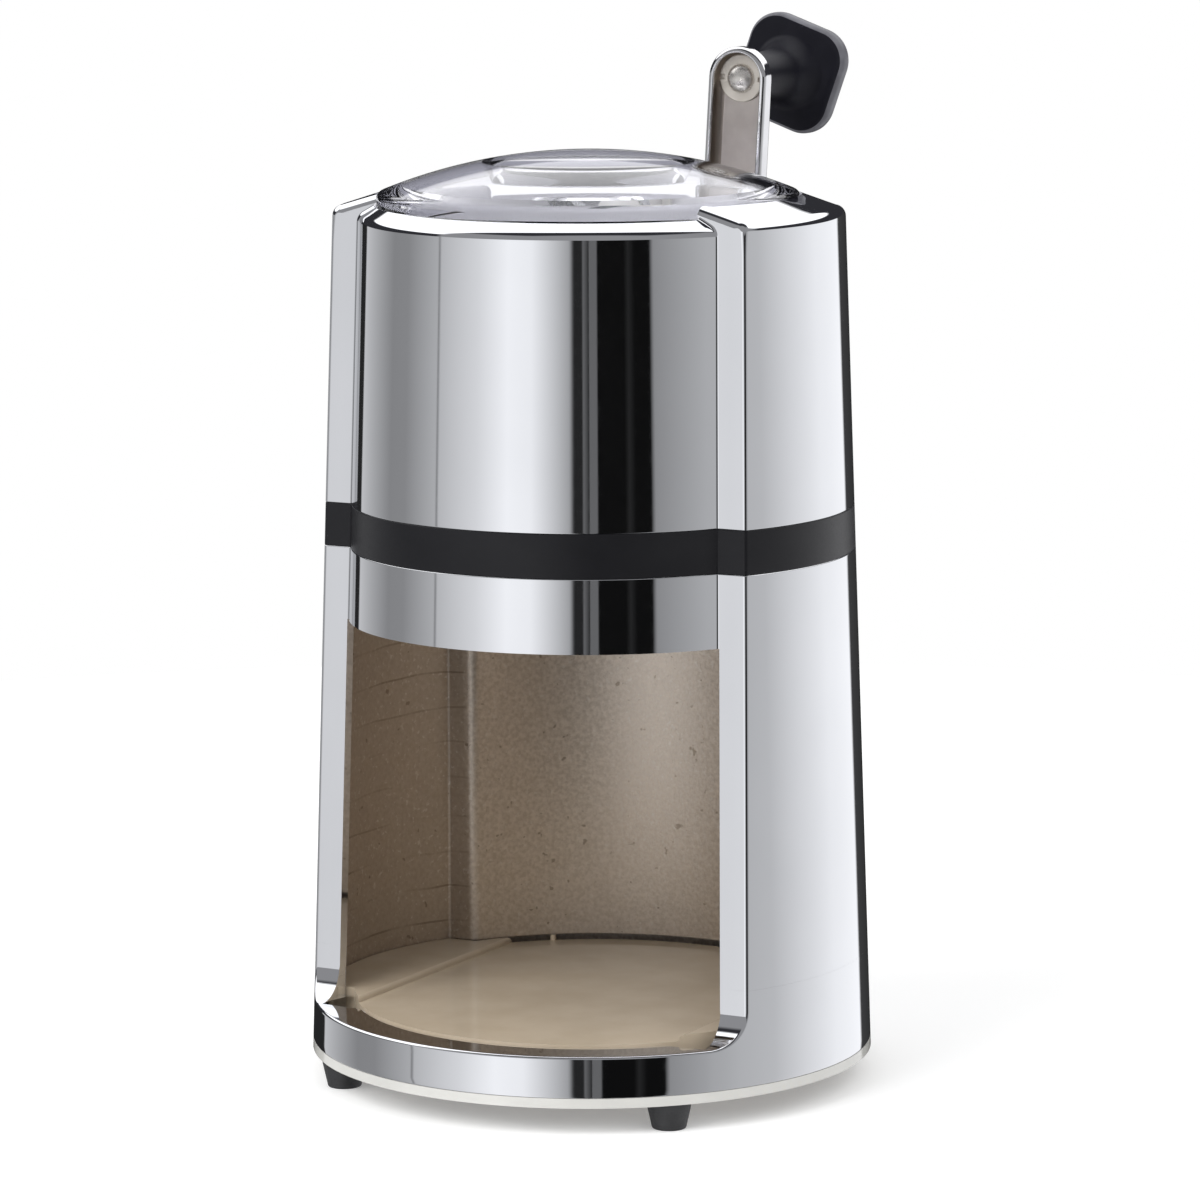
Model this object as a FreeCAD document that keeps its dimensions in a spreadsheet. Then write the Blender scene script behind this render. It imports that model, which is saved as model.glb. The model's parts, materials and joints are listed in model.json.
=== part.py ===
"""Hand-cranked ice crusher as a parametric FreeCAD document.

Frame: origin on the body's axis at the table, +Z up, the window faces -Y and the crank is at +Y.
The crank's own pieces are built about the shaft's axis with the arm upright, and their Placement
lifts them to the shaft and leans them.
"""

import FreeCAD, Part
import math
import os
import re

import Sketcher

SIZES = {
    # body outline
    "foot_height": 6.5,
    "rim_thickness": 2.3,
    "lower_height": 118.6,
    "band_height": 10.3,
    "upper_height": 69.8,
    "base_radius": 67.1,
    "taper": 0.0331,  # radius lost for each millimetre of height
    "recess_depth": 6.3,
    "wing_half": 33.1,  # half of a wing's width, at the lower housing's bottom
    "wall": 3.0,
    "edge_round": 1.2,
    # window and rails of the lower housing
    "rail_height": 9.7,
    "back_rail_height": 14.7,
    "corner_round": 8.0,
    "window_height": 91.6,
    "window_margin": 0.4,
    # shoulder and mouth of the upper housing
    "wing_rise": 3.3,
    "panel_drop": 1.8,  # from the wings' shoulder down to the panels'
    "panel_rise": 2.5,
    "shoulder_round": 2.0,
    "roof_thickness": 3.0,
    "seat_depth": 3.8,
    "shoulder_width": 0.91,  # between the lid's seat and a recessed panel's inner face
    "seat_width": 4.3,
    # base plate
    "floor_gap": 0.4,
    "floor_rise": 10.2,
    "floor_thickness": 2.2,
    "platform_height": 1.4,
    "platform_width": 24.1,
    "platform_round": 1.0,
    "tab_gap": 4.5,
    "tab_width": 4.0,
    "tab_depth": 16.3,  # from the outline's panel to the tab's front end
    "rib_thickness": 1.8,
    # feet and their screws
    "foot_margin": 5.58,
    "foot_top": 5.4,
    "foot_bottom": 3.95,
    "foot_counterbore": 3.3,
    "foot_counterbore_depth": 3.4,
    "foot_boss_radius": 3.5,
    "foot_boss_height": 9.0,
    "foot_screw_length": 11.5,
    # screws: radii of the shank, head and holes
    "screw_radius": 1.5,
    "screw_head_radius": 2.8,
    "screw_head_height": 1.9,
    "screw_clearance": 0.25,
    "drive_width": 0.8,
    "drive_depth": 1.0,
    # lugs that clamp the housings, the band and the hopper
    "lug_margin": 4.83,  # from the upper housing's lower edge, inside
    "lug_side_margin": 8.84,
    "lug_radius": 4.2,
    "lug_height": 7.4,
    "lug_screw_length": 30.0,
    "upper_lug_height": 15.0,
    # joint band
    "deck_height": 3.6,
    "deck_thickness": 3.0,
    "lip_height": 2.0,
    "lip_thickness": 1.8,
    "lip_gap": 0.15,
    "lip_margin": 1.9,
    # hopper
    "chamber_radius": 39.0,
    "hopper_wall": 2.0,
    "funnel_step": 0.5,
    "funnel_height": 18.0,
    "neck_height": 7.7,
    "hopper_gap": 0.3,
    "flange_width": 2.5,
    "flange_thickness": 2.0,
    "ear_thickness": 3.0,
    "bush_boss_wall": 3.0,
    "bush_boss_length": 6.0,
    "ledge_width": 6.5,
    "ledge_height": 6.0,
    "ledge_drop": 16.0,
    # shaft, bushes and what is on the shaft
    "shaft_rise": 30.3,  # above the joint band
    "shaft_radius": 5.0,
    "flats_inset": 0.05,
    "shaft_tip": 1.3,
    "running_gap": 0.05,
    "bush_wall": 3.0,
    "bush_flange_width": 2.5,
    "bush_flange_thickness": 2.0,
    "bush_stand": 3.8,
    "pad_stand": 1.97,
    "pad_wall": 5.0,
    "pad_gap": 0.3,
    "escutcheon_wall": 2.0,
    "escutcheon_height": 3.5,
    "escutcheon_skirt": 1.3,
    "groove_width": 1.2,
    "groove_depth": 0.8,
    "circlip_width": 3.0,
    "circlip_thickness": 1.0,
    # rotor blades and spacers
    "rotor_end_space": 6.4,
    "blade_thickness": 3.0,
    "blade_hub_wall": 3.5,
    "tooth_gap": 5.5,
    "tooth_base": 10.0,
    "tooth_tip": 4.0,
    "blade_step": 30.0,
    "spacer_wall": 2.5,
    "stack_gap": 0.1,
    # stator combs
    "comb_thickness": 3.0,
    "comb_inner": 12.0,
    "comb_gap": 0.3,
    "slot_gap": 1.5,
    "comb_screw_angle": 27.0,
    "comb_screw_length": 7.5,
    # crank
    "crank_lean": 3.4,
    "arm_length": 66.5,
    "arm_hub_gap": 0.35,
    "arm_thickness": 1.5,
    "arm_depth": 5.2,
    "hub_wall": 1.0,
    "hub_gap": 0.6,
    "hub_length": 11.65,
    "thread_step": 0.55,
    "thread_length": 7.0,
    "nut_wall": 2.05,
    "nut_height": 4.6,
    "nut_dome_wall": 1.45,
    "washer_width": 3.25,
    "washer_thickness": 1.2,
    # knob and its rivet
    "rivet_radius": 2.5,
    "rivet_dome": 3.6,
    "rivet_dome_height": 2.2,
    "rivet_head_radius": 4.2,
    "rivet_head_height": 1.6,
    "knob_washer_gap": 0.45,
    "knob_washer_thickness": 1.0,
    "knob_gap": 0.3,
    "knob_reach": 23.55,
    "knob_plate": 5.3,
    "knob_width": 27.3,
    "knob_length": 27.0,
    "knob_corner": 8.0,
    "knob_edge_round": 1.6,
    "knob_turn": 20.0,
    "stem_radius": 5.4,
    "stem_waist": 6.4,
    "stem_flare": 11.0,
    "flare_length": 7.0,
    "counterbore_radius": 5.0,
    "counterbore_depth": 6.1,
    "cap_thickness": 2.0,
    "cap_round": 0.4,
    # lid
    "lid_side_gap": 0.3,
    "lid_gap": 0.2,
    "lid_rim": 4.0,
    "lid_rise": 9.9,
    "lid_thickness": 2.2,
    "spigot_gap": 0.4,
    "spigot_height": 2.8,
    "pad_radius_low": 22.5,  # of the thick middle under the dome
    "pad_depth": 8.1,
    "pad_slope": 1.1,  # radius gained for each millimetre of the thick middle's height
}

# Heights and places worked out from the sizes above.
LEVELS = {
    "reach": "4 * base_radius",  # past every piece, for shapes that only cut or keep
    # body
    "housing_low": "foot_height + rim_thickness",
    "band_low": "housing_low + lower_height",
    "band_high": "band_low + band_height",
    "shoulder": "band_high + upper_height",
    "panel_shoulder": "shoulder - panel_drop",
    "rail_top": "housing_low + rail_height",
    "back_rail_top": "housing_low + back_rail_height",
    "window_reach": "wing_half - 2 * wall - 5",
    "wing_top": "shoulder + wing_rise",
    "seat": "wing_top - seat_depth",
    "roof": "seat - roof_thickness",
    "seat_radius": "base_radius - taper * (shoulder - housing_low) - recess_depth - wall"
    " - shoulder_width",
    "mouth_radius": "seat_radius - seat_width",
    # base
    "floor_top": "housing_low + floor_rise",
    "platform_inner": "base_radius - platform_width",
    "tab_place": "platform_inner - tab_gap - tab_width / 2",
    "tab_start": "base_radius - recess_depth - tab_depth",
    "foot_place": "(base_radius - foot_margin) / sqrt(2)",
    # lugs and band
    "lug_circle": "base_radius - taper * (band_high - housing_low) - wall - lug_margin",
    "lug_y": "wing_half - taper * (band_high - housing_low) - wall - lug_side_margin",
    "lug_x": "sqrt(lug_circle^2 - lug_y^2)",
    "lug_under": "band_low - lug_height",
    "deck_low": "band_low + deck_height",
    "deck_top": "deck_low + deck_thickness",
    "upper_lug_low": "deck_top + ear_thickness",
    "lip_inner": "wing_half + lip_margin",
    # hopper
    "hopper_top": "roof - hopper_gap",
    "funnel_radius": "mouth_radius - funnel_step",
    "flange_radius": "funnel_radius + hopper_wall + flange_width",
    "funnel_top": "hopper_top - neck_height",
    "funnel_start": "funnel_top - funnel_height",
    "ledge_radius": "chamber_radius - ledge_width",
    # shaft line
    "shaft_height": "band_high + shaft_rise",
    "shaft_flats": "sqrt(2) * (shaft_radius - flats_inset)",
    "thread_radius": "shaft_flats / 2 - thread_step",
    "bush_radius": "shaft_radius + bush_wall",
    "bush_flange_radius": "bush_radius + bush_flange_width",
    "bush_boss_radius": "bush_radius + bush_boss_wall",
    "circlip_radius": "shaft_radius - groove_depth + circlip_width",
    "blade_hub_radius": "shaft_radius + blade_hub_wall",
    "spacer_radius": "shaft_radius + spacer_wall",
    "ledge_low": "shaft_height - ledge_drop",
    "comb_low": "ledge_low + ledge_height",
    "bush_inner": "chamber_radius - bush_stand",
    "bush_seat": "bush_inner + bush_flange_thickness",
    "boss_end": "chamber_radius + bush_boss_length",
    "groove_start": "boss_end + stack_gap",
    "shaft_front": "groove_start + groove_width + shaft_tip",
    "square_half": "bush_inner - stack_gap",
    "pad_radius": "bush_radius + pad_wall",
    "pad_start": "boss_end + pad_gap",
    "pad_face": "base_radius - taper * (shaft_height - housing_low) - recess_depth + pad_stand",
    "escutcheon_radius": "pad_radius + escutcheon_wall",
    "blade_pitch": "(2 * bush_inner - rotor_end_space) / 4",
    "rotor_end": "1.5 * blade_pitch + blade_thickness / 2",
    "tooth_radius": "sqrt(chamber_radius^2 - rotor_end^2) - tooth_gap",
    "slot_end": "tooth_radius + 1",
    "ledge_inner": "slot_end + 1",
    "comb_screw_circle": "(ledge_radius + chamber_radius) / 2",
    "comb_screw_x": "comb_screw_circle * cos(comb_screw_angle)",
    "comb_screw_y": "comb_screw_circle * sin(comb_screw_angle)",
    # crank
    "hub_radius": "shaft_radius + hub_wall",
    "arm_half": "hub_radius + arm_hub_gap + arm_thickness",
    "knob_washer_radius": "arm_half - arm_thickness - knob_washer_gap",
    "nut_flats": "2 * (thread_radius + nut_wall)",
    "nut_dome": "thread_radius + nut_dome_wall",
    "washer_radius": "thread_radius + washer_width",
    "escutcheon_face": "pad_face + escutcheon_height",
    "hub_start": "escutcheon_face + hub_gap",
    "web_inner": "hub_start + hub_length",
    "arm_face": "web_inner + arm_thickness",
    "knob_start": "arm_face + knob_gap",
    "plate_start": "arm_face + knob_reach",
    "knob_face": "plate_start + knob_plate",
    "counterbore_floor": "knob_face - counterbore_depth",
    # lid
    "lid_radius": "seat_radius - lid_side_gap",
    "lid_low": "seat + lid_gap",
    "lid_edge": "lid_low + lid_rim",
    "lid_top": "lid_edge + lid_rise",
    "dome_radius": "(lid_radius * lid_radius + lid_rise * lid_rise) / (2 * lid_rise)",
    "middle_low": "lid_top - pad_depth",
    "spigot_radius": "mouth_radius - spigot_gap",
}

X_AXIS = FreeCAD.Vector(1, 0, 0)
Y_AXIS = FreeCAD.Vector(0, 1, 0)
Z_AXIS = FreeCAD.Vector(0, 0, 1)
ALONG_Y = FreeCAD.Rotation(X_AXIS, -90)  # turns a piece's own +Z to +Y
UPRIGHT = FreeCAD.Rotation(X_AXIS, 90)  # turns a wedge's own +Y to +Z
SIDES = {"left": -1, "right": 1}

doc = FreeCAD.newDocument("IceCrusher")
nodes = []


# ---------------------------------------------------------------- sheet and bindings
def write_sheet(name, cells):
    sheet = doc.addObject("Spreadsheet::Sheet", name)
    for row, (alias, content) in enumerate(cells.items(), start=1):
        sheet.set(f"A{row}", alias)
        sheet.set(f"B{row}", content)
        sheet.setAlias(f"B{row}", alias)
    doc.recompute()
    return sheet


def with_sheet(text, sheet_name, aliases):
    """The expression with each of the aliases led by its sheet's name."""

    def lead(match):
        word = match.group(0)
        return f"{sheet_name}.{word}" if word in aliases else word

    return re.sub(r"[a-z_]+", lead, str(text))


def sized(text):
    return with_sheet(with_sheet(text, "Sizes", SIZES), "Levels", LEVELS)


def value(alias):
    """A size or level as a number."""
    sheet = sizes_sheet if alias in SIZES else levels_sheet
    return float(getattr(sheet, alias))


def bind(piece, **properties):
    for name, text in properties.items():
        piece.setExpression(name, sized(text))
    return piece


def place(piece, at=(0, 0, 0), rotation=None):
    if rotation is not None:
        piece.Placement = FreeCAD.Placement(FreeCAD.Vector(), rotation)
    for axis, text in zip("xyz", at):
        piece.setExpression("Placement.Base." + axis, sized(text))
    return piece


# ---------------------------------------------------------------- primitives and booleans
def cylinder(name, radius, height, at=(0, 0, 0), rotation=None):
    piece = bind(doc.addObject("Part::Cylinder", name), Radius=radius, Height=height)
    return place(piece, at, rotation)


def cone(name, radius_low, radius_high, height, at=(0, 0, 0), rotation=None):
    piece = doc.addObject("Part::Cone", name)
    bind(piece, Radius1=radius_low, Radius2=radius_high, Height=height)
    return place(piece, at, rotation)


def box(name, corner, length, width, height):
    piece = bind(doc.addObject("Part::Box", name), Length=length, Width=width, Height=height)
    return place(piece, corner)


def centred_box(name, length, width, height, at=(0, 0, 0)):
    """A box centred on its place in X and Y, standing on it in Z."""
    corner = (f"{at[0]} - ({length}) / 2", f"{at[1]} - ({width}) / 2", at[2])
    return box(name, corner, length, width, height)


def boolean(kind, name, pieces):
    result = doc.addObject("Part::" + kind, name)
    result.Shapes = pieces
    result.Refine = True
    return result


def fuse(name, *pieces):
    return boolean("MultiFuse", name, list(pieces))


def common(name, *pieces):
    return boolean("MultiCommon", name, list(pieces))


def cut(name, base, *tools):
    result = doc.addObject("Part::Cut", name)
    result.Base = base
    result.Tool = tools[0] if len(tools) == 1 else fuse(name + "_tools", *tools)
    result.Refine = True
    return result


def group(name, pieces):
    """Identical solids that share one node."""
    result = doc.addObject("Part::Compound", name)
    result.Links = pieces
    return result


def rounded(name, base, **rounds):
    """base with edges rounded; each round is a size's alias and a test that picks its edges."""
    doc.recompute()
    if base.Shape.isNull():
        raise RuntimeError(f"{base.Name} has no shape")
    result = doc.addObject("Part::Fillet", name)
    result.Base = base
    result.Edges = [
        (number, value(alias), value(alias))
        for number, edge in enumerate(base.Shape.Edges, start=1)
        for alias, wanted in rounds.items()
        if wanted(edge)
    ]
    return result


def node(piece, label):
    """Marks a finished sub-part, which is written to a file of this name."""
    piece.Label = label
    nodes.append(piece)
    return piece


# ---------------------------------------------------------------- body outline
def radius_at(height, inset="0"):
    return f"base_radius - taper * ({height} - housing_low) - ({inset})"


def half_at(height, inset="0"):
    return f"wing_half - taper * ({height} - housing_low) - ({inset})"


def corner_at(height, inset="0"):
    """How far from the middle a panel meets a wing's side wall."""
    return f"sqrt(({radius_at(height, inset)} - recess_depth)^2 - ({half_at(height, inset)})^2)"


def full_cone(name, low, high, inset="0"):
    return cone(name, radius_at(low, inset), radius_at(high, inset), f"{high} - ({low})", (0, 0, low))


def recess_blocks(name, front_low, back_low, high, inset):
    """The space beyond the wings' side walls, which lean in as the body narrows."""
    blocks = []
    for end, low in (("front", front_low), ("back", back_low)):
        near_low, near_high = half_at(low, inset), half_at(high, inset)
        block = doc.addObject("Part::Wedge", f"{name}_{end}")
        bind(block, Xmin="-reach", Xmax="reach", X2min="-reach", X2max="reach")
        bind(block, Ymin=0, Ymax=f"{high} - ({low})")
        if end == "front":
            bind(block, Zmin=near_low, Zmax="reach", Z2min=near_high, Z2max="reach")
        else:
            bind(block, Zmin="-reach", Zmax=f"-({near_low})", Z2min="-reach", Z2max=f"-({near_high})")
        blocks.append(place(block, (0, 0, low), UPRIGHT))
    return blocks


def stepped(name, low, high, inset="0", front_low=None, back_low=None):
    """A slice of the outline: panels recessed front and back between two wings.

    Below front_low and back_low, where they are given, a full-radius rail closes the recess.
    """
    start = f"{low} - 1"
    blocks = recess_blocks(name + "_block", front_low or start, back_low or start, f"{high} + 1", inset)
    panels = full_cone(name + "_panels", f"{low} - 2", f"{high} + 2", f"recess_depth + {inset}")
    recesses = cut(name + "_recesses", fuse(name + "_blocks", *blocks), panels)
    return cut(name, full_cone(name + "_whole", low, high, inset), recesses)


def lug_places():
    """Each lug's name, X and Y, and the angle of its web."""
    for side, x_sign in SIDES.items():
        for end, y_sign in (("front", -1), ("back", 1)):
            turn = math.degrees(math.atan2(y_sign * value("lug_y"), x_sign * value("lug_x")))
            yield f"{side}_{end}", f"{x_sign} * lug_x", f"{y_sign} * lug_y", turn


def web(name, start, width, height, turn, low):
    """A radial bar from the radius start to past the outer wall."""
    bar = box(name, (0, 0, 0), "base_radius", width, height)
    holder = FreeCAD.Rotation(Z_AXIS, turn)
    bar.Placement = FreeCAD.Placement(FreeCAD.Vector(), holder)
    direction = holder.multVec(X_AXIS)
    sideways = holder.multVec(Y_AXIS)
    for axis, along, across in zip("xy", direction, sideways):
        text = f"{along:.9f} * ({start}) - {across:.9f} * ({width}) / 2"
        bar.setExpression("Placement.Base." + axis, sized(text))
    bar.setExpression("Placement.Base.z", sized(low))
    return bar


def lugs(name, low, height):
    """Four screw lugs, each with a web to the wall beside it."""
    pieces = []
    for corner, x, y, turn in lug_places():
        pieces.append(cylinder(f"{name}_post_{corner}", "lug_radius", height, (x, y, low)))
        pieces.append(web(f"{name}_web_{corner}", "lug_circle", "2 * lug_radius", height, turn, low))
    return pieces


def lug_holes(name, radius, low, height):
    return [
        cylinder(f"{name}_{corner}", radius, height, (x, y, low)) for corner, x, y, _ in lug_places()
    ]


def foot_places():
    for side, x_sign in SIDES.items():
        for end, y_sign in (("front", -1), ("back", 1)):
            yield f"{end}_{side}", f"{x_sign} * foot_place", f"{y_sign} * foot_place"


# ---------------------------------------------------------------- edge tests
def near(a, b):
    return abs(a - b) < 0.02


def ends(edge):
    return [vertex.Point for vertex in edge.Vertexes]


def samples(edge):
    """Points along an edge, both ends among them."""
    return edge.discretize(Number=5)


def is_recess_corner(edge):
    """A recess's side wall meets the top of a rail in a line along X."""
    points = samples(edge)
    tops = (value("rail_top"), value("back_rail_top"))
    level = any(all(near(point.z, top) for point in points) for top in tops)
    return level and all(near(point.y, points[0].y) for point in points)


def fallen(point):
    """How much narrower the outline is at a point's height than at the housing's bottom."""
    return value("taper") * (point.z - value("housing_low"))


def is_on_side_wall(edge):
    return all(near(abs(point.y), value("wing_half") - fallen(point)) for point in samples(edge))


def is_on_panel(edge, slack=0.05):
    radius = value("base_radius") - value("recess_depth")
    return all(math.hypot(point.x, point.y) < radius - fallen(point) + slack for point in samples(edge))


def is_outer_edge(edge):
    """A wing or a rail ends at a recess; the outline's two end faces and its seam are left out."""
    points = samples(edge)
    radius = value("base_radius")
    on_cone = all(near(math.hypot(point.x, point.y), radius - fallen(point)) for point in points)
    at_end = any(
        all(near(point.z, value(level)) for point in points)
        for level in ("housing_low", "band_low", "band_high")
    )
    return on_cone and not at_end and not all(near(point.y, 0) for point in points)


def is_upper_wing_edge(edge):
    """A wing's edge beside a recess, from the band up over the shoulder."""
    points = samples(edge)
    level = near(points[0].z, points[-1].z)
    return is_on_side_wall(edge) and not is_on_panel(edge) and not level


def is_shoulder(edge):
    levels = (value("shoulder"), value("panel_shoulder"))
    return any(all(near(point.z, level) for point in samples(edge)) for level in levels)


def is_plate_corner(edge):
    points = ends(edge)
    return len(points) == 2 and near(points[0].x, points[1].x) and near(points[0].z, points[1].z)


def is_plate_rim(edge):
    points = ends(edge)
    faces = (value("plate_start"), value("knob_face"))
    return len(points) == 2 and near(points[0].y, points[1].y) and any(near(points[0].y, y) for y in faces)


def is_platform_edge(edge):
    points = samples(edge)
    top = value("floor_top") + value("platform_height")
    return all(near(point.z, top) and near(abs(point.x), value("platform_inner")) for point in points)


def is_cap_rim(edge):
    return all(near(point.y, value("knob_face")) for point in samples(edge))


# ---------------------------------------------------------------- fasteners
def screw(name, x, y, under_head, length, head_down):
    """A cross-head screw; its head is below the joint where head_down is 1, or above it."""
    low = under_head if head_down else f"{under_head} - {length}"
    head_low = f"{under_head} - screw_head_height" if head_down else under_head
    slot_low = head_low if head_down else f"{under_head} + screw_head_height - drive_depth"
    body = fuse(
        name + "_body",
        cylinder(name + "_shank", "screw_radius", length, (x, y, low)),
        cylinder(name + "_head", "screw_head_radius", "screw_head_height", (x, y, head_low)),
    )
    slots = [
        centred_box(f"{name}_slot_{turn}", a, b, "drive_depth", (x, y, slot_low))
        for turn, a, b in (
            ("x", "1.3 * screw_head_radius", "drive_width"),
            ("y", "drive_width", "1.3 * screw_head_radius"),
        )
    ]
    return cut(name, body, *slots)


# ---------------------------------------------------------------- base
def base_plate():
    inset = "(wall + floor_gap)"
    inner = f"({inset} + floor_thickness)"
    under = "floor_top - floor_thickness"
    block = stepped("floor_block", "housing_low", "floor_top", inset)
    rim = full_cone("rim", "foot_height", "housing_low")
    steps = stepped("platform_slice", "floor_top", "floor_top + platform_height", inset)
    keep = [
        box(f"platform_{side}", (start, "-reach", "floor_top"), "reach", "2 * reach", "reach")
        for side, start in (("left", "-platform_inner - reach"), ("right", "platform_inner"))
    ] + [
        centred_box(f"tab_{side}", "tab_width", "reach", "reach",
                    (f"{x_sign} * tab_place", "tab_start + reach / 2", "floor_top"))
        for side, x_sign in SIDES.items()
    ]
    raised = common("raised", steps, fuse("raised_keep", *keep))
    platforms = rounded("platforms", raised, platform_round=is_platform_edge)
    hollow = stepped("floor_hollow", "foot_height - 1", under, inner)
    bars = fuse(
        "rib_bars",
        centred_box("rib_x", "2 * base_radius", "rib_thickness", f"{under} - housing_low + 0.5",
                    (0, 0, "housing_low")),
        centred_box("rib_y", "rib_thickness", "2 * base_radius", f"{under} - housing_low + 0.5",
                    (0, 0, "housing_low")),
    )
    ribs = common("ribs", bars, stepped("rib_limit", "housing_low", "floor_top", f"({inset} + 1)"))
    holes = [
        cylinder(f"plate_hole_{spot}", "screw_radius + screw_clearance", "rim_thickness + 2",
                 (x, y, "foot_height - 1"))
        for spot, x, y in foot_places()
    ]
    shell = cut("plate_shell", fuse("plate_block", rim, block, platforms), hollow, *holes)
    return node(fuse("BasePlate", shell, ribs), "base_plate")


def feet():
    screws = []
    for spot, x, y in foot_places():
        body = cone(f"foot_cone_{spot}", "foot_bottom", "foot_top", "foot_height", (x, y, 0))
        sink = cylinder(f"foot_sink_{spot}", "foot_counterbore", "foot_counterbore_depth + 1", (x, y, -1))
        bore = cylinder(f"foot_bore_{spot}", "screw_radius + screw_clearance", "foot_height + 2",
                        (x, y, -1))
        node(cut(f"Foot_{spot}", body, sink, bore), f"foot_{spot}")
        screws.append(screw(f"foot_screw_{spot}", x, y, "foot_counterbore_depth", "foot_screw_length", 1))
    node(group("FootScrews", screws), "foot_screws")


# ---------------------------------------------------------------- lower housing
def lower_housing():
    outline = stepped("lower_form", "housing_low", "band_low", "0", "rail_top", "back_rail_top")
    coved = rounded("lower_coved", outline, corner_round=is_recess_corner)
    outer = rounded("lower_outer", coved, edge_round=is_outer_edge)
    cavity = stepped("lower_cavity", "housing_low", "band_low", "wall", "rail_top - wall",
                     "back_rail_top - wall")
    window = window_cut()
    shell = cut("lower_shell", outer, cavity, window)
    posts = [
        cylinder(f"foot_boss_{spot}", "foot_boss_radius", "foot_boss_height", (x, y, "housing_low"))
        for spot, x, y in foot_places()
    ]
    limit = stepped("lower_limit", "housing_low", "band_low", "wall / 2")
    lug_set = common("lower_lugs", fuse("lower_lug_set", *lugs("lower_lug", "lug_under", "lug_height")),
                     limit)
    holes = lug_holes("lower_hole", "screw_radius + screw_clearance", "lug_under - 1", "lug_height + 2")
    pilots = [
        cylinder(f"foot_pilot_{spot}", "screw_radius", "foot_boss_height - 1", (x, y, "housing_low - 1"))
        for spot, x, y in foot_places()
    ]
    solid = fuse("lower_solid", shell, *posts, lug_set)
    return node(cut("LowerHousing", solid, *holes, *pilots), "lower_housing")


def window_cut():
    """What opens the front panel from side wall to side wall, above the rail."""
    top = "rail_top + window_height"
    half_low, half_high = (f"{corner_at(height)} + window_margin" for height in ("rail_top", top))
    cutter = doc.addObject("Part::Wedge", "window")
    bind(cutter, Xmin=f"-({half_low})", Xmax=half_low, X2min=f"-({half_high})", X2max=half_high)
    bind(cutter, Ymin=0, Ymax="window_height")
    bind(cutter, Zmin="window_reach", Zmax="reach", Z2min="window_reach", Z2max="reach")
    return place(cutter, (0, 0, "rail_top"), UPRIGHT)


# ---------------------------------------------------------------- joint band
def joint_band():
    ring = cut(
        "band_ring",
        rounded("band_outer", stepped("band_form", "band_low", "band_high"), edge_round=is_outer_edge),
        stepped("band_inner", "band_low", "band_high", "wall"),
    )
    deck = cut(
        "deck",
        stepped("deck_form", "deck_low", "deck_top", "wall / 2"),
        cylinder("throat", "chamber_radius + hopper_wall + hopper_gap", "deck_thickness + 2",
                 (0, 0, "deck_low - 1")),
    )
    gap = "(wall + lip_gap)"
    low, high = "band_low - lip_height", "band_high + lip_height"
    lip_ring = cut(
        "lip_ring",
        stepped("lip_outer", low, high, gap),
        stepped("lip_inner_form", low, high, f"({gap} + lip_thickness)"),
    )
    ends_kept = [
        box("lip_front", ("-reach", "-reach", 0), "2 * reach", "reach - lip_inner", "wing_top"),
        box("lip_back", ("-reach", "lip_inner", 0), "2 * reach", "reach", "wing_top"),
    ]
    lips = common("lips", lip_ring, fuse("lip_ends", *ends_kept))
    bridge = cut(
        "lip_bridge",
        stepped("bridge_outer", "band_low + 1", "band_high - 1", "wall / 2"),
        stepped("bridge_inner", "band_low + 1", "band_high - 1", f"({gap} + lip_thickness)"),
    )
    bridges = common("lip_bridges", bridge, fuse("bridge_ends", *ends_kept))
    limit = stepped("band_limit", "band_low", "band_high", "wall / 2")
    lug_set = common("band_lugs", fuse("band_lug_set", *lugs("band_lug", "band_low", "deck_height + 1")),
                     limit)
    holes = lug_holes("band_hole", "screw_radius + screw_clearance", "band_low - 1", "band_height + 2")
    solid = fuse("band_solid", ring, deck, lips, bridges, lug_set)
    return node(cut("JointBand", solid, *holes), "joint_band")


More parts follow.
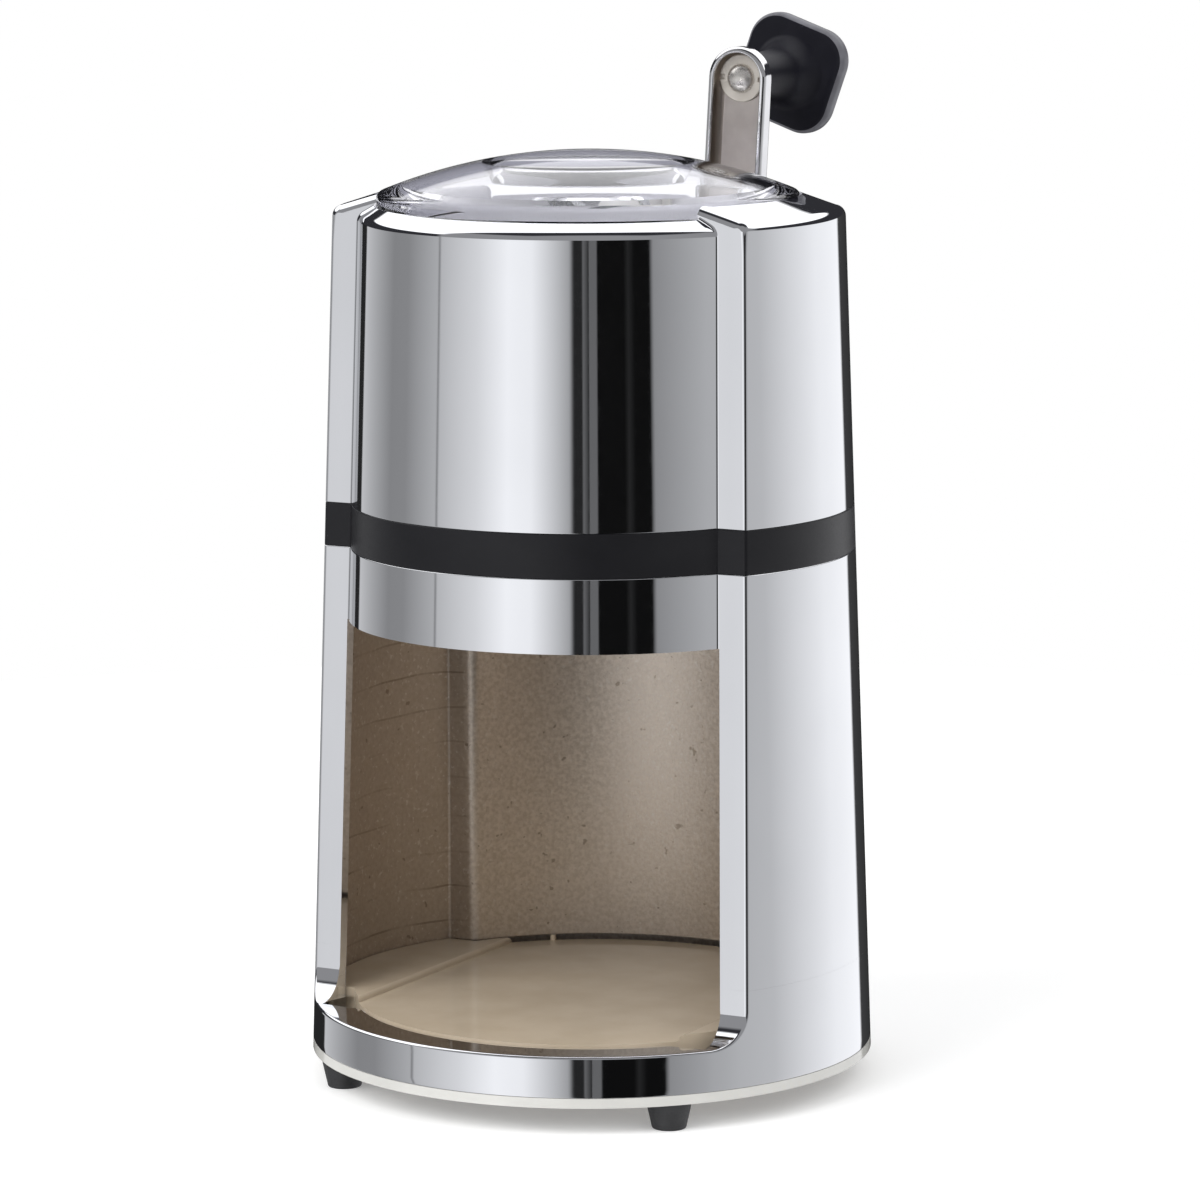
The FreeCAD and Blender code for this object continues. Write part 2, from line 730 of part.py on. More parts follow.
# ---------------------------------------------------------------- upper housing
def upper_housing():
    side = full_cone("upper_side", "band_high", "shoulder")
    top = cone("wing_top_cone", radius_at("shoulder"), "seat_radius", "wing_rise", (0, 0, "shoulder"))
    panel_side = full_cone("upper_panel_side", "band_high - 2", "panel_shoulder", "recess_depth")
    panel_top = cone("panel_top_cone", radius_at("panel_shoulder", "recess_depth"), "seat_radius",
                     "panel_rise", (0, 0, "panel_shoulder"))
    blocks = recess_blocks("upper_block", "band_high - 1", "band_high - 1", "wing_top + 1", "0")
    panels = fuse("upper_panels", panel_side, panel_top)
    recesses = cut("upper_recesses", fuse("upper_blocks", *blocks), panels)
    form = cut("upper_form", fuse("upper_stack", side, top), recesses)
    outer = rounded("upper_outer", form, edge_round=is_upper_wing_edge, shoulder_round=is_shoulder)
    seat = cylinder("seat_cut", "seat_radius", "seat_depth + 5", (0, 0, "seat"))
    mouth = cylinder("mouth_cut", "mouth_radius", "roof_thickness + 2", (0, 0, "roof - 1"))
    inner = stepped("upper_inner", "band_high", "roof", "wall")
    shell = cut("upper_shell", outer, seat, mouth, inner)
    pad = common(
        "rear_pad",
        cylinder("pad_post", "pad_radius", "pad_face - pad_start", (0, "pad_start", "shaft_height"),
                 ALONG_Y),
        box("pad_keep", ("-reach", 0, 0), "2 * reach", "pad_face", "wing_top"),
    )
    limit = stepped("upper_limit", "upper_lug_low", "roof", "wall / 2")
    lug_set = common(
        "upper_lugs",
        fuse("upper_lug_set", *lugs("upper_lug", "upper_lug_low", "upper_lug_height")),
        limit,
    )
    bore = cylinder("pad_bore", "bush_radius + running_gap", "pad_face - pad_start + 4",
                    (0, "pad_start - 2", "shaft_height"), ALONG_Y)
    holes = lug_holes("upper_hole", "screw_radius", "upper_lug_low - 1", "upper_lug_height - 0.5")
    trim = stepped("upper_trim", "upper_lug_low - 1", "band_high", "0")
    webs = cut("upper_lug_trim", lug_set, common("trim_ring", trim, trim_ring()))
    return node(cut("UpperHousing", fuse("upper_solid", shell, pad, webs), bore, *holes), "upper_housing")


def trim_ring():
    """What the band's own wall takes, below the housing's lower edge."""
    return cut(
        "trim_wall",
        cylinder("trim_outer", "reach", "band_height + 4", (0, 0, "band_low")),
        stepped("trim_inner", "band_low - 1", "band_high + 5", "wall + lip_gap"),
    )


# ---------------------------------------------------------------- hopper
def hopper():
    outer_radius = "chamber_radius + hopper_wall"
    funnel_outer = "funnel_radius + hopper_wall"
    outer = fuse(
        "hopper_outer",
        cylinder("hopper_low", outer_radius, "funnel_start - deck_top", (0, 0, "deck_top")),
        cone("hopper_cone", outer_radius, funnel_outer, "funnel_height", (0, 0, "funnel_start")),
        cylinder("hopper_neck", funnel_outer, "hopper_top - funnel_top", (0, 0, "funnel_top")),
        cylinder("hopper_flange", "flange_radius", "flange_thickness",
                 (0, 0, "hopper_top - flange_thickness")),
    )
    inner = fuse(
        "hopper_inner",
        cylinder("chamber_low", "chamber_radius", "funnel_start - deck_top + 1", (0, 0, "deck_top - 1")),
        cone("chamber_cone", "chamber_radius", "funnel_radius", "funnel_height", (0, 0, "funnel_start")),
        cylinder("chamber_neck", "funnel_radius", "hopper_top - funnel_top + 1", (0, 0, "funnel_top")),
    )
    bosses = [
        cylinder(f"bush_boss_{end}", "bush_boss_radius", "boss_end - bush_seat", (0, y, "shaft_height"),
                 ALONG_Y)
        for end, y in (("front", "-boss_end"), ("back", "bush_seat"))
    ]
    ears = []
    for corner, x, y, turn in lug_places():
        ears.append(cylinder(f"ear_{corner}", "lug_radius", "ear_thickness", (x, y, "deck_top")))
        ears.append(web(f"ear_web_{corner}", "chamber_radius + 1", "2 * lug_radius", "ear_thickness", turn,
                        "deck_top"))
    ear_limit = cylinder("ear_limit", "lug_circle + lug_radius", "ear_thickness", (0, 0, "deck_top"))
    ear_set = common("ears", fuse("ear_set", *ears), ear_limit)
    ledge_ring = cut(
        "ledge_ring",
        cylinder("ledge_outer", "chamber_radius + hopper_wall / 2", "ledge_height", (0, 0, "ledge_low")),
        cylinder("ledge_bore", "ledge_radius", "ledge_height + 2", (0, 0, "ledge_low - 1")),
        centred_box("ledge_middle", "2 * ledge_inner", "2 * reach", "ledge_height + 2",
                    (0, 0, "ledge_low - 1")),
    )
    pockets = [
        cylinder(f"comb_pilot_{side}_{end}", "screw_radius", "comb_screw_length - comb_thickness + 0.5",
                 (f"{x_sign} * comb_screw_x", f"{y_sign} * comb_screw_y",
                  "comb_low - comb_screw_length + comb_thickness - 0.5"))
        for side, x_sign in SIDES.items()
        for end, y_sign in (("front", -1), ("back", 1))
    ]
    shaft_way = cylinder("shaft_way", "bush_radius + running_gap", "2 * reach",
                         (0, "-reach", "shaft_height"), ALONG_Y)
    shell = cut("hopper_shell", fuse("hopper_walls", outer, ear_set), inner)
    holes = lug_holes("ear_hole", "screw_radius + screw_clearance", "deck_top - 1", "ear_thickness + 2")
    solid = fuse("hopper_solid", shell, *bosses, ledge_ring)
    return node(cut("Hopper", solid, shaft_way, *holes, *pockets), "hopper")


def blade_places():
    return [f"{index} * blade_pitch" for index in (-1.5, -0.5, 0.5, 1.5)]


def comb(side, x_sign):
    start = "comb_inner" if x_sign > 0 else "-comb_inner - reach"
    plate = common(
        f"comb_plate_{side}",
        cylinder(f"comb_disc_{side}", "chamber_radius - comb_gap", "comb_thickness", (0, 0, "comb_low")),
        box(f"comb_half_{side}", (start, "-reach", "comb_low - 1"), "reach", "2 * reach",
            "comb_thickness + 2"),
    )
    slot_width = "blade_thickness + 2 * slot_gap"
    slots = [
        centred_box(f"comb_slot_{side}_{index}", "2 * slot_end", slot_width, "comb_thickness + 2",
                    (0, y, "comb_low - 1"))
        for index, y in enumerate(blade_places())
    ]
    holes = [
        cylinder(f"comb_hole_{side}_{end}", "screw_radius + screw_clearance", "comb_thickness + 2",
                 (f"{x_sign} * comb_screw_x", f"{y_sign} * comb_screw_y", "comb_low - 1"))
        for end, y_sign in (("front", -1), ("back", 1))
    ]
    node(cut(f"Comb_{side}", plate, *slots, *holes), f"stator_comb_{side}")


def combs():
    screws = []
    for side, x_sign in SIDES.items():
        comb(side, x_sign)
        for end, y_sign in (("front", -1), ("back", 1)):
            screws.append(
                screw(f"comb_screw_{side}_{end}", f"{x_sign} * comb_screw_x", f"{y_sign} * comb_screw_y",
                      "comb_low + comb_thickness", "comb_screw_length", 0)
            )
    node(group("CombScrews", screws), "comb_screws")


def joint_screws():
    screws = [
        screw(f"joint_screw_{corner}", x, y, "lug_under", "lug_screw_length", 1)
        for corner, x, y, _ in lug_places()
    ]
    node(group("JointScrews", screws), "joint_screws")


# ---------------------------------------------------------------- shaft line
def on_shaft(piece, label, turned=True):
    """Lifts a piece built about the shaft's axis to its height, and leans it with the crank."""
    if turned:
        piece.Placement = FreeCAD.Placement(FreeCAD.Vector(), FreeCAD.Rotation(Y_AXIS, value("crank_lean")))
        piece.setExpression("Placement.Rotation.Angle", sized("crank_lean"))
    piece.setExpression("Placement.Base.z", sized("shaft_height"))
    return node(piece, label)


def along(name, radius, start, end):
    """A round bar about the shaft's axis, from start to end along Y."""
    return cylinder(name, radius, f"({end}) - ({start})", (0, start, 0), ALONG_Y)


def flats(name, across, start, end):
    return box(name, (f"-({across}) / 2", start, f"-({across}) / 2"), across, f"({end}) - ({start})", across)


def crusher_shaft():
    groove_low = "-groove_start - groove_width"
    rod = fuse(
        "shaft_rod",
        cut(
            "front_journal",
            along("journal_front", "shaft_radius", "-shaft_front", "-square_half"),
            cut(
                "groove",
                along("groove_outer", "shaft_radius + 1", groove_low, "-groove_start"),
                along("groove_inner", "shaft_radius - groove_depth", "-shaft_front", "-square_half"),
            ),
        ),
        flats("rotor_square", "shaft_flats", "-square_half", "square_half"),
        along("journal_rear", "shaft_radius", "square_half", "hub_start"),
        flats("crank_square", "shaft_flats", "hub_start", "web_inner - stack_gap"),
        along("thread", "thread_radius", "web_inner - stack_gap",
              "arm_face + washer_thickness + thread_length"),
    )
    on_shaft(rod, "crusher_shaft")


def bushes():
    for end, y_sign, last in (
        ("front", -1, "boss_end"),
        ("rear", 1, "pad_face"),
    ):
        spans = {
            "flange": ("bush_flange_radius", "bush_inner", "bush_seat"),
            "sleeve": ("bush_radius", "bush_seat", last),
            "bore": ("shaft_radius + running_gap", "bush_inner - 1", f"{last} + 1"),
        }
        bars = {}
        for part, (radius, start, finish) in spans.items():
            if y_sign < 0:
                start, finish = f"-({finish})", f"-({start})"
            bars[part] = along(f"bush_{part}_{end}", radius, start, finish)
        bush = cut(f"Bush_{end}", fuse(f"bush_body_{end}", bars["flange"], bars["sleeve"]), bars["bore"])
        on_shaft(bush, f"{end}_bush", turned=False)


def circlip():
    slack = "(groove_width - circlip_thickness) / 2"
    low = f"-groove_start - groove_width + {slack}"
    high = f"-groove_start - {slack}"
    ring = cut(
        "Circlip",
        along("circlip_ring", "circlip_radius", low, high),
        along("circlip_bore", "shaft_radius - groove_depth + running_gap", f"{low} - 1", f"{high} + 1"),
        box("circlip_mouth", ("-shaft_radius / 2", f"{low} - 1", "-2 * circlip_radius"), "shaft_radius",
            "circlip_thickness + 2", "2 * circlip_radius"),
    )
    on_shaft(ring, "shaft_circlip")


def escutcheon():
    skirt_low = "pad_face - escutcheon_skirt"
    body = fuse(
        "escutcheon_body",
        along("escutcheon_skirt_bar", "escutcheon_radius", skirt_low, "pad_face + 1"),
        cone("escutcheon_cone", "escutcheon_radius", "shaft_radius + 3", "escutcheon_height - 1",
             (0, "pad_face + 1", 0), ALONG_Y),
    )
    ring = cut(
        "Escutcheon",
        body,
        along("escutcheon_pocket", "pad_radius + running_gap", f"{skirt_low} - 1", "pad_face"),
        along("escutcheon_bore", "shaft_radius + 0.3", skirt_low, "escutcheon_face + 1"),
    )
    on_shaft(ring, "rear_escutcheon", turned=False)


def blade(number, y):
    """A star of three teeth whose square hole is turned against it by the blade's step."""
    half = "blade_thickness / 2"
    pieces = [along(f"blade_hub_{number}", "blade_hub_radius", f"{y} - {half}", f"{y} + {half}")]
    for tooth in range(3):
        wedge = doc.addObject("Part::Wedge", f"tooth_{number}_{tooth}")
        bind(wedge, Ymin=0, Ymax="tooth_radius", Zmin=0, Zmax="blade_thickness", Z2min=0,
             Z2max="blade_thickness")
        bind(wedge, Xmin="-tooth_base / 2", Xmax="tooth_base / 2", X2min="-tooth_tip / 2",
             X2max="tooth_tip / 2")
        turn = 120 * tooth + value("blade_step") * number
        rotation = FreeCAD.Rotation(Y_AXIS, turn).multiply(UPRIGHT)
        pieces.append(place(wedge, (0, f"{y} + {half}", 0), rotation))
    hole = flats(f"blade_hole_{number}", "shaft_flats + 2 * running_gap", f"{y} - 5", f"{y} + 5")
    star = cut(f"Blade_{number}", fuse(f"blade_star_{number}", *pieces), hole)
    on_shaft(star, f"rotor_blade_{number + 1}")


def spacer(name, start, end):
    ring = along(name + "_ring", "spacer_radius", f"{start} + stack_gap", f"{end} - stack_gap")
    hole = flats(name + "_hole", "shaft_flats + 2 * running_gap", f"{start} - 1", f"{end} + 1")
    return cut(name, ring, hole)


def rotor():
    places = blade_places()
    for number, y in enumerate(places):
        blade(number, y)
    half = "blade_thickness / 2"
    starts = ["-square_half - stack_gap"] + [f"{y} + {half}" for y in places]
    finishes = [f"{y} - {half}" for y in places] + ["square_half + stack_gap"]
    rings = [spacer(f"spacer_{index}", a, b) for index, (a, b) in enumerate(zip(starts, finishes))]
    on_shaft(group("Spacers", rings), "blade_spacers")


# ---------------------------------------------------------------- crank
def origin_plane(body, role):
    return next(feature for feature in body.Origin.OriginFeatures if feature.Role == role)


def new_sketch(body, name, role):
    sketch = body.newObject("Sketcher::SketchObject", name)
    sketch.AttachmentSupport = [(origin_plane(body, role), "")]
    sketch.MapMode = "FlatFace"
    return sketch


def pin_point(sketch, geometry, end, x, y):
    for kind, text in (("DistanceX", x), ("DistanceY", y)):
        number = sketch.addConstraint(Sketcher.Constraint(kind, -1, 1, geometry, end, 1.0))
        sketch.setExpression(f"Constraints[{number}]", sized(text))


def add_slot(sketch, length, half):
    """A slot from the sketch's origin up its own Y axis, with round ends."""
    reach, radius = value(length), value("arm_half")
    low = Part.Circle(FreeCAD.Vector(), Z_AXIS, radius)
    high = Part.Circle(FreeCAD.Vector(0, reach, 0), Z_AXIS, radius)
    pi = 3.141592653589793
    sketch.addGeometry(Part.ArcOfCircle(low, pi, 2 * pi), False)
    sketch.addGeometry(Part.ArcOfCircle(high, 0, pi), False)
    sketch.addGeometry(
        Part.LineSegment(FreeCAD.Vector(radius, 0, 0), FreeCAD.Vector(radius, reach, 0)), False
    )
    sketch.addGeometry(
        Part.LineSegment(FreeCAD.Vector(-radius, reach, 0), FreeCAD.Vector(-radius, 0, 0)), False
    )
    for first, first_end, second, second_end in ((0, 2, 2, 1), (2, 2, 1, 1), (1, 2, 3, 1), (3, 2, 0, 1)):
        sketch.addConstraint(
            Sketcher.Constraint("Tangent", first, first_end, second, second_end)
        )
    sketch.addConstraint(Sketcher.Constraint("Equal", 0, 1))
    sketch.addConstraint(Sketcher.Constraint("Coincident", 0, 3, -1, 1))
    sketch.addConstraint(Sketcher.Constraint("PointOnObject", 1, 3, -2))
    reach_number = sketch.addConstraint(Sketcher.Constraint("DistanceY", -1, 1, 1, 3, reach))
    sketch.setExpression(f"Constraints[{reach_number}]", sized(length))
    radius_number = sketch.addConstraint(Sketcher.Constraint("Radius", 0, radius))
    sketch.setExpression(f"Constraints[{radius_number}]", sized(half))


def add_circle(sketch, x, y, radius):
    number = sketch.addGeometry(Part.Circle(FreeCAD.Vector(1, 1, 0), Z_AXIS, 1), False)
    pin_point(sketch, number, 3, x, y)
    size = sketch.addConstraint(Sketcher.Constraint("Radius", number, 1.0))
    sketch.setExpression(f"Constraints[{size}]", sized(radius))


def crank_arm():
    """A pressed channel: a web with a wall all round it, open towards the body."""
    body = doc.addObject("PartDesign::Body", "CrankArm")
    outline = new_sketch(body, "arm_outline", "XZ_Plane")
    add_slot(outline, "arm_length", "arm_half")
    pad = body.newObject("PartDesign::Pad", "arm_pad")
    pad.Profile = outline
    pad.setExpression("Length", sized("arm_depth"))
    inside = new_sketch(body, "arm_inside", "XZ_Plane")
    add_slot(inside, "arm_length", "arm_half - arm_thickness")
    pocket = body.newObject("PartDesign::Pocket", "arm_pocket")
    pocket.Profile = inside
    inside.setExpression("AttachmentOffset.Base.z", sized("arm_depth"))
    pocket.setExpression("Length", sized("arm_depth - arm_thickness"))
    holes = new_sketch(body, "arm_holes", "XZ_Plane")
    add_circle(holes, 0, 0, "thread_radius + 0.15")
    add_circle(holes, 0, "arm_length", "rivet_radius + running_gap")
    drilled = body.newObject("PartDesign::Pocket", "arm_drilled")
    drilled.Profile = holes
    drilled.Type = "ThroughAll"
    drilled.Midplane = True
    on_shaft(body, "crank_arm")
    body.setExpression("Placement.Base.y", sized("arm_face"))


def crank_fastening():
    hub = cut(
        "CrankHub",
        along("hub_bar", "hub_radius", "hub_start", "web_inner"),
        flats("hub_bore", "shaft_flats + 2 * running_gap", "hub_start - 1", "web_inner + 1"),
    )
    on_shaft(hub, "crank_hub")
    washer_end = "arm_face + washer_thickness"
    washer = cut(
        "CrankWasher",
        along("crank_washer_disc", "washer_radius", "arm_face", washer_end),
        along("crank_washer_bore", "thread_radius + 0.15", "arm_face - 1", f"{washer_end} + 1"),
    )
    on_shaft(washer, "crank_washer")
    prism = doc.addObject("Part::Prism", "nut_prism")
    prism.Polygon = 6
    bind(prism, Circumradius="nut_flats / (2 * cos(30))", Height="nut_height")
    place(prism, (0, washer_end, 0), ALONG_Y)
    dome = doc.addObject("Part::Sphere", "nut_dome_ball")
    bind(dome, Radius="nut_dome")
    place(dome, (0, f"{washer_end} + nut_height", 0))
    nut = cut(
        "CrankNut",
        fuse("nut_body", prism, dome),
        along("nut_bore", "thread_radius", f"{washer_end} - 1", f"{washer_end} + thread_length + 0.3"),
        box("nut_face", ("-reach", f"{washer_end} - reach", "-reach"), "2 * reach", "reach",
            "2 * reach"),
    )
    on_shaft(nut, "crank_nut")


# ---------------------------------------------------------------- knob
def on_rivet(piece, label, angle):
    """Puts a piece built about its own Y axis on the rivet's axis at the arm's free end."""
    piece.Placement = FreeCAD.Placement(FreeCAD.Vector(), FreeCAD.Rotation(Y_AXIS, value(angle)))
    piece.setExpression("Placement.Rotation.Angle", sized(angle))
    piece.setExpression("Placement.Base.x", sized("arm_length * sin(crank_lean)"))
    piece.setExpression("Placement.Base.z", sized("shaft_height + arm_length * cos(crank_lean)"))
    return node(piece, label)


def knob():
    plate_start = "plate_start"
    plate = box("knob_plate_box", ("-knob_width / 2", plate_start, "-knob_length / 2"), "knob_width",
                "knob_plate", "knob_length")
    corners = rounded("knob_corners", plate, knob_corner=is_plate_corner)
    edges = rounded("knob_edges", corners, knob_edge_round=is_plate_rim)
    waist = "plate_start - flare_length"
    stem = fuse(
        "knob_stem",
        cone("stem_cone", "stem_radius", "stem_waist", f"{waist} - knob_start", (0, "knob_start", 0),
             ALONG_Y),
        cone("stem_flare_cone", "stem_waist", "stem_flare", "flare_length", (0, waist, 0), ALONG_Y),
    )
    body = cut(
        "Knob",
        fuse("knob_body", edges, stem),
        along("knob_bore", "rivet_radius + running_gap", "knob_start - 1", "knob_face"),
        along("knob_sink", "counterbore_radius", "counterbore_floor", "knob_face + 1"),
    )
    on_rivet(body, "knob", "knob_turn")
    cap = along("KnobCapDisc", "counterbore_radius - running_gap", "knob_face - cap_thickness", "knob_face")
    on_rivet(rounded("KnobCapRound", cap, cap_round=is_cap_rim), "knob_cap", "knob_turn")


def knob_rivet():
    washer_start = "web_inner - knob_washer_thickness"
    head_start = "counterbore_floor + knob_gap"
    dome = common(
        "rivet_dome_cap",
        place(bind(doc.addObject("Part::Ellipsoid", "rivet_ball"), Radius1="rivet_dome_height",
                   Radius2="rivet_dome", Radius3="rivet_dome"), (0, washer_start, 0), ALONG_Y),
        box("rivet_half", ("-reach", f"{washer_start} - reach", "-reach"), "2 * reach", "reach",
            "2 * reach"),
    )
    rivet = fuse(
        "KnobRivet",
        dome,
        along("rivet_shank", "rivet_radius", washer_start, f"{head_start} + rivet_head_height"),
        along("rivet_head", "rivet_head_radius", head_start, f"{head_start} + rivet_head_height"),
    )
    on_rivet(rivet, "knob_rivet", "crank_lean")
    washer = cut(
        "KnobWasher",
        along("knob_washer_disc", "knob_washer_radius", washer_start, "web_inner"),
        along("knob_washer_bore", "rivet_radius + running_gap", f"{washer_start} - 1", "web_inner + 1"),
        box("knob_washer_notch_left", ("-knob_washer_radius - 1", f"{washer_start} - 1", -0.6), 2.2,
            "knob_washer_thickness / 2 + 1", 1.2),
        box("knob_washer_notch_right", ("knob_washer_radius - 1.2", f"{washer_start} - 1", -0.6), 2.2,
            "knob_washer_thickness / 2 + 1", 1.2),
    )
    on_rivet(washer, "knob_washer", "crank_lean")


# ---------------------------------------------------------------- lid
def ball(name, radius):
    piece = bind(doc.addObject("Part::Sphere", name), Radius=radius)
    return place(piece, (0, 0, "lid_top - dome_radius"))


def lid():
    """A dome with a solid rim, a skirt that drops into the mouth and a thick middle, flat underneath."""
    height = "lid_rim + lid_rise + 1"
    outer = common("lid_outer", cylinder("lid_disc", "lid_radius", height, (0, 0, "lid_low")),
                   ball("lid_ball", "dome_radius"))
    inner = common(
        "lid_inner",
        cylinder("lid_hollow", "spigot_radius - lid_thickness", f"{height} + 1", (0, 0, "lid_low - 1")),
        ball("lid_inner_ball", "dome_radius - lid_thickness"),
    )
    middle = common(
        "lid_middle",
        cone("middle_cone", "pad_radius_low", "pad_radius_low + pad_slope * pad_depth", "pad_depth",
             (0, 0, "middle_low")),
        ball("middle_ball", "dome_radius - lid_thickness / 2"),
    )
    skirt = cut(
        "spigot_skirt",
        cylinder("skirt_outer", "spigot_radius", "spigot_height + 1", (0, 0, "lid_low - spigot_height")),
        cylinder("skirt_inner", "spigot_radius - lid_thickness", "spigot_height + 3",
                 (0, 0, "lid_low - spigot_height - 1")),
    )
    return node(fuse("Lid", cut("lid_dome", outer, inner), middle, skirt), "lid")


# ---------------------------------------------------------------- document
def check_and_write():
    doc.recompute()
    for piece in doc.Objects:
        faults = [word for word in piece.State if word in ("Invalid", "Error")]
        if faults:
            raise RuntimeError(f"{piece.Name} is {faults}")
    for piece in nodes:
        if piece.Shape.isNull() or not piece.Shape.isValid() or not piece.Shape.Solids:
            raise RuntimeError(f"{piece.Label} has no valid solid")
    os.makedirs("parts", exist_ok=True)
    for piece in nodes:
        piece.Shape.exportStep(f"parts/{piece.Label}.step")
        box_ = piece.Shape.BoundBox
        print(f"{piece.Label:20s} solids {len(piece.Shape.Solids)} volume {piece.Shape.Volume:10.1f} "
              f"x {box_.XMin:7.2f}..{box_.XMax:7.2f} y {box_.YMin:7.2f}..{box_.YMax:7.2f} "
              f"z {box_.ZMin:7.2f}..{box_.ZMax:7.2f}")


sizes_sheet = write_sheet("Sizes", {alias: str(number) for alias, number in SIZES.items()})
levels_sheet = write_sheet(
    "Levels", {alias: "=" + with_sheet(text, "Sizes", SIZES) for alias, text in LEVELS.items()}
)

base_plate()
feet()
lower_housing()
joint_band()
upper_housing()
joint_screws()
hopper()
combs()
bushes()
circlip()
escutcheon()
crusher_shaft()
rotor()
crank_arm()
crank_fastening()
knob()
knob_rivet()
lid()
check_and_write()
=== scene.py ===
import json
import math

import bmesh
import bpy
import numpy as np
from mathutils import Matrix, Vector


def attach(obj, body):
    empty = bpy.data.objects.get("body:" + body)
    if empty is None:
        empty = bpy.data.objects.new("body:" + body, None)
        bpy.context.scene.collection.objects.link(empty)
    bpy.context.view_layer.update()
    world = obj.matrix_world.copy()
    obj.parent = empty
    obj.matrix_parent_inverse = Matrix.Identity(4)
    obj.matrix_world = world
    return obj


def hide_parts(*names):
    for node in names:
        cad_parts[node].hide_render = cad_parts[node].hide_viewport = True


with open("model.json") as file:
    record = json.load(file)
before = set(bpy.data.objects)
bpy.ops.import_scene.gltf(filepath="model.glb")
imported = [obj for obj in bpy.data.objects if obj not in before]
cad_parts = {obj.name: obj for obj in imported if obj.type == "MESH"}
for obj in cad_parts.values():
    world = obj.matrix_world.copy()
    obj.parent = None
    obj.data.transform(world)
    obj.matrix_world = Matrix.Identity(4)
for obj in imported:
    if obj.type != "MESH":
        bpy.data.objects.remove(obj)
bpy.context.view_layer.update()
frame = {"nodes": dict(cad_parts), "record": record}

# ------------ sizes, in millimetres
MM = 0.001  # in metres
TAPER = 0.0331  # how far the outline comes in for each millimetre up
BASE_RADIUS = 67.1  # the wings' radius at the housing's lower edge
WING_HALF = 33.1  # half of a wing's width there
RECESS = 6.3  # from the wings' radius in to the panels'
WALL = 3.0
BAND_WALL = 2.6
EDGE_ROUND = 1.2  # between a wing and its side wall
TOP_EDGE_ROUND = 2.0  # the same, on the shoulder
LEDGE_ROUND = 0.7  # the same, along a ledge
CORNER_ROUND = 0.75  # between a side wall and a panel
INNER_EDGE_ROUND = 1.0
INNER_CORNER_ROUND = 3.2
COVE = 8.0  # where a side wall runs into a ledge
LEDGE_INNER = 57.5  # the front ledge's inner radius
RIM_CHAMFER = 0.25  # at both ends of the band and where the housings meet it
RIM_INWARD = 2.0  # how far the housings turn in there
LOW_CHAMFER = 0.3

HOUSING_LOW = 8.8
RAIL_TOP = 18.5
BACK_RAIL_TOP = 23.5
WINDOW_TOP = 110.1
BAND_LOW = 127.4
BAND_HIGH = 137.7
PANEL_SHOULDER = 205.7
PANEL_TOP = 208.2
PANEL_SHOULDER_ROUND = 2.8
WING_SHOULDER = 207.5
WING_TOP = 210.8
WING_SHOULDER_ROUND = 2.6
ROOF = 204.0
SEAT = 207.0
SEAT_RADIUS = 50.31
MOUTH_RADIUS = 46.01

SHAFT = (0, 0, 168.0)
CRANK_LEAN = math.radians(3.4)
ARM_LENGTH = 66.5
RIVET = (ARM_LENGTH * math.sin(CRANK_LEAN), 0, SHAFT[2] + ARM_LENGTH * math.cos(CRANK_LEAN))
KNOB_TURN = math.radians(20)

# numbers of points along the outline's pieces
PANEL_POINTS = 25
CORNER_POINTS = 6
EDGE_POINTS = 7
WING_POINTS = 13
LEDGE_POINTS = 41


def add_object(name, data):
    made = bpy.data.objects.new(name, data)
    bpy.context.scene.collection.objects.link(made)
    return made


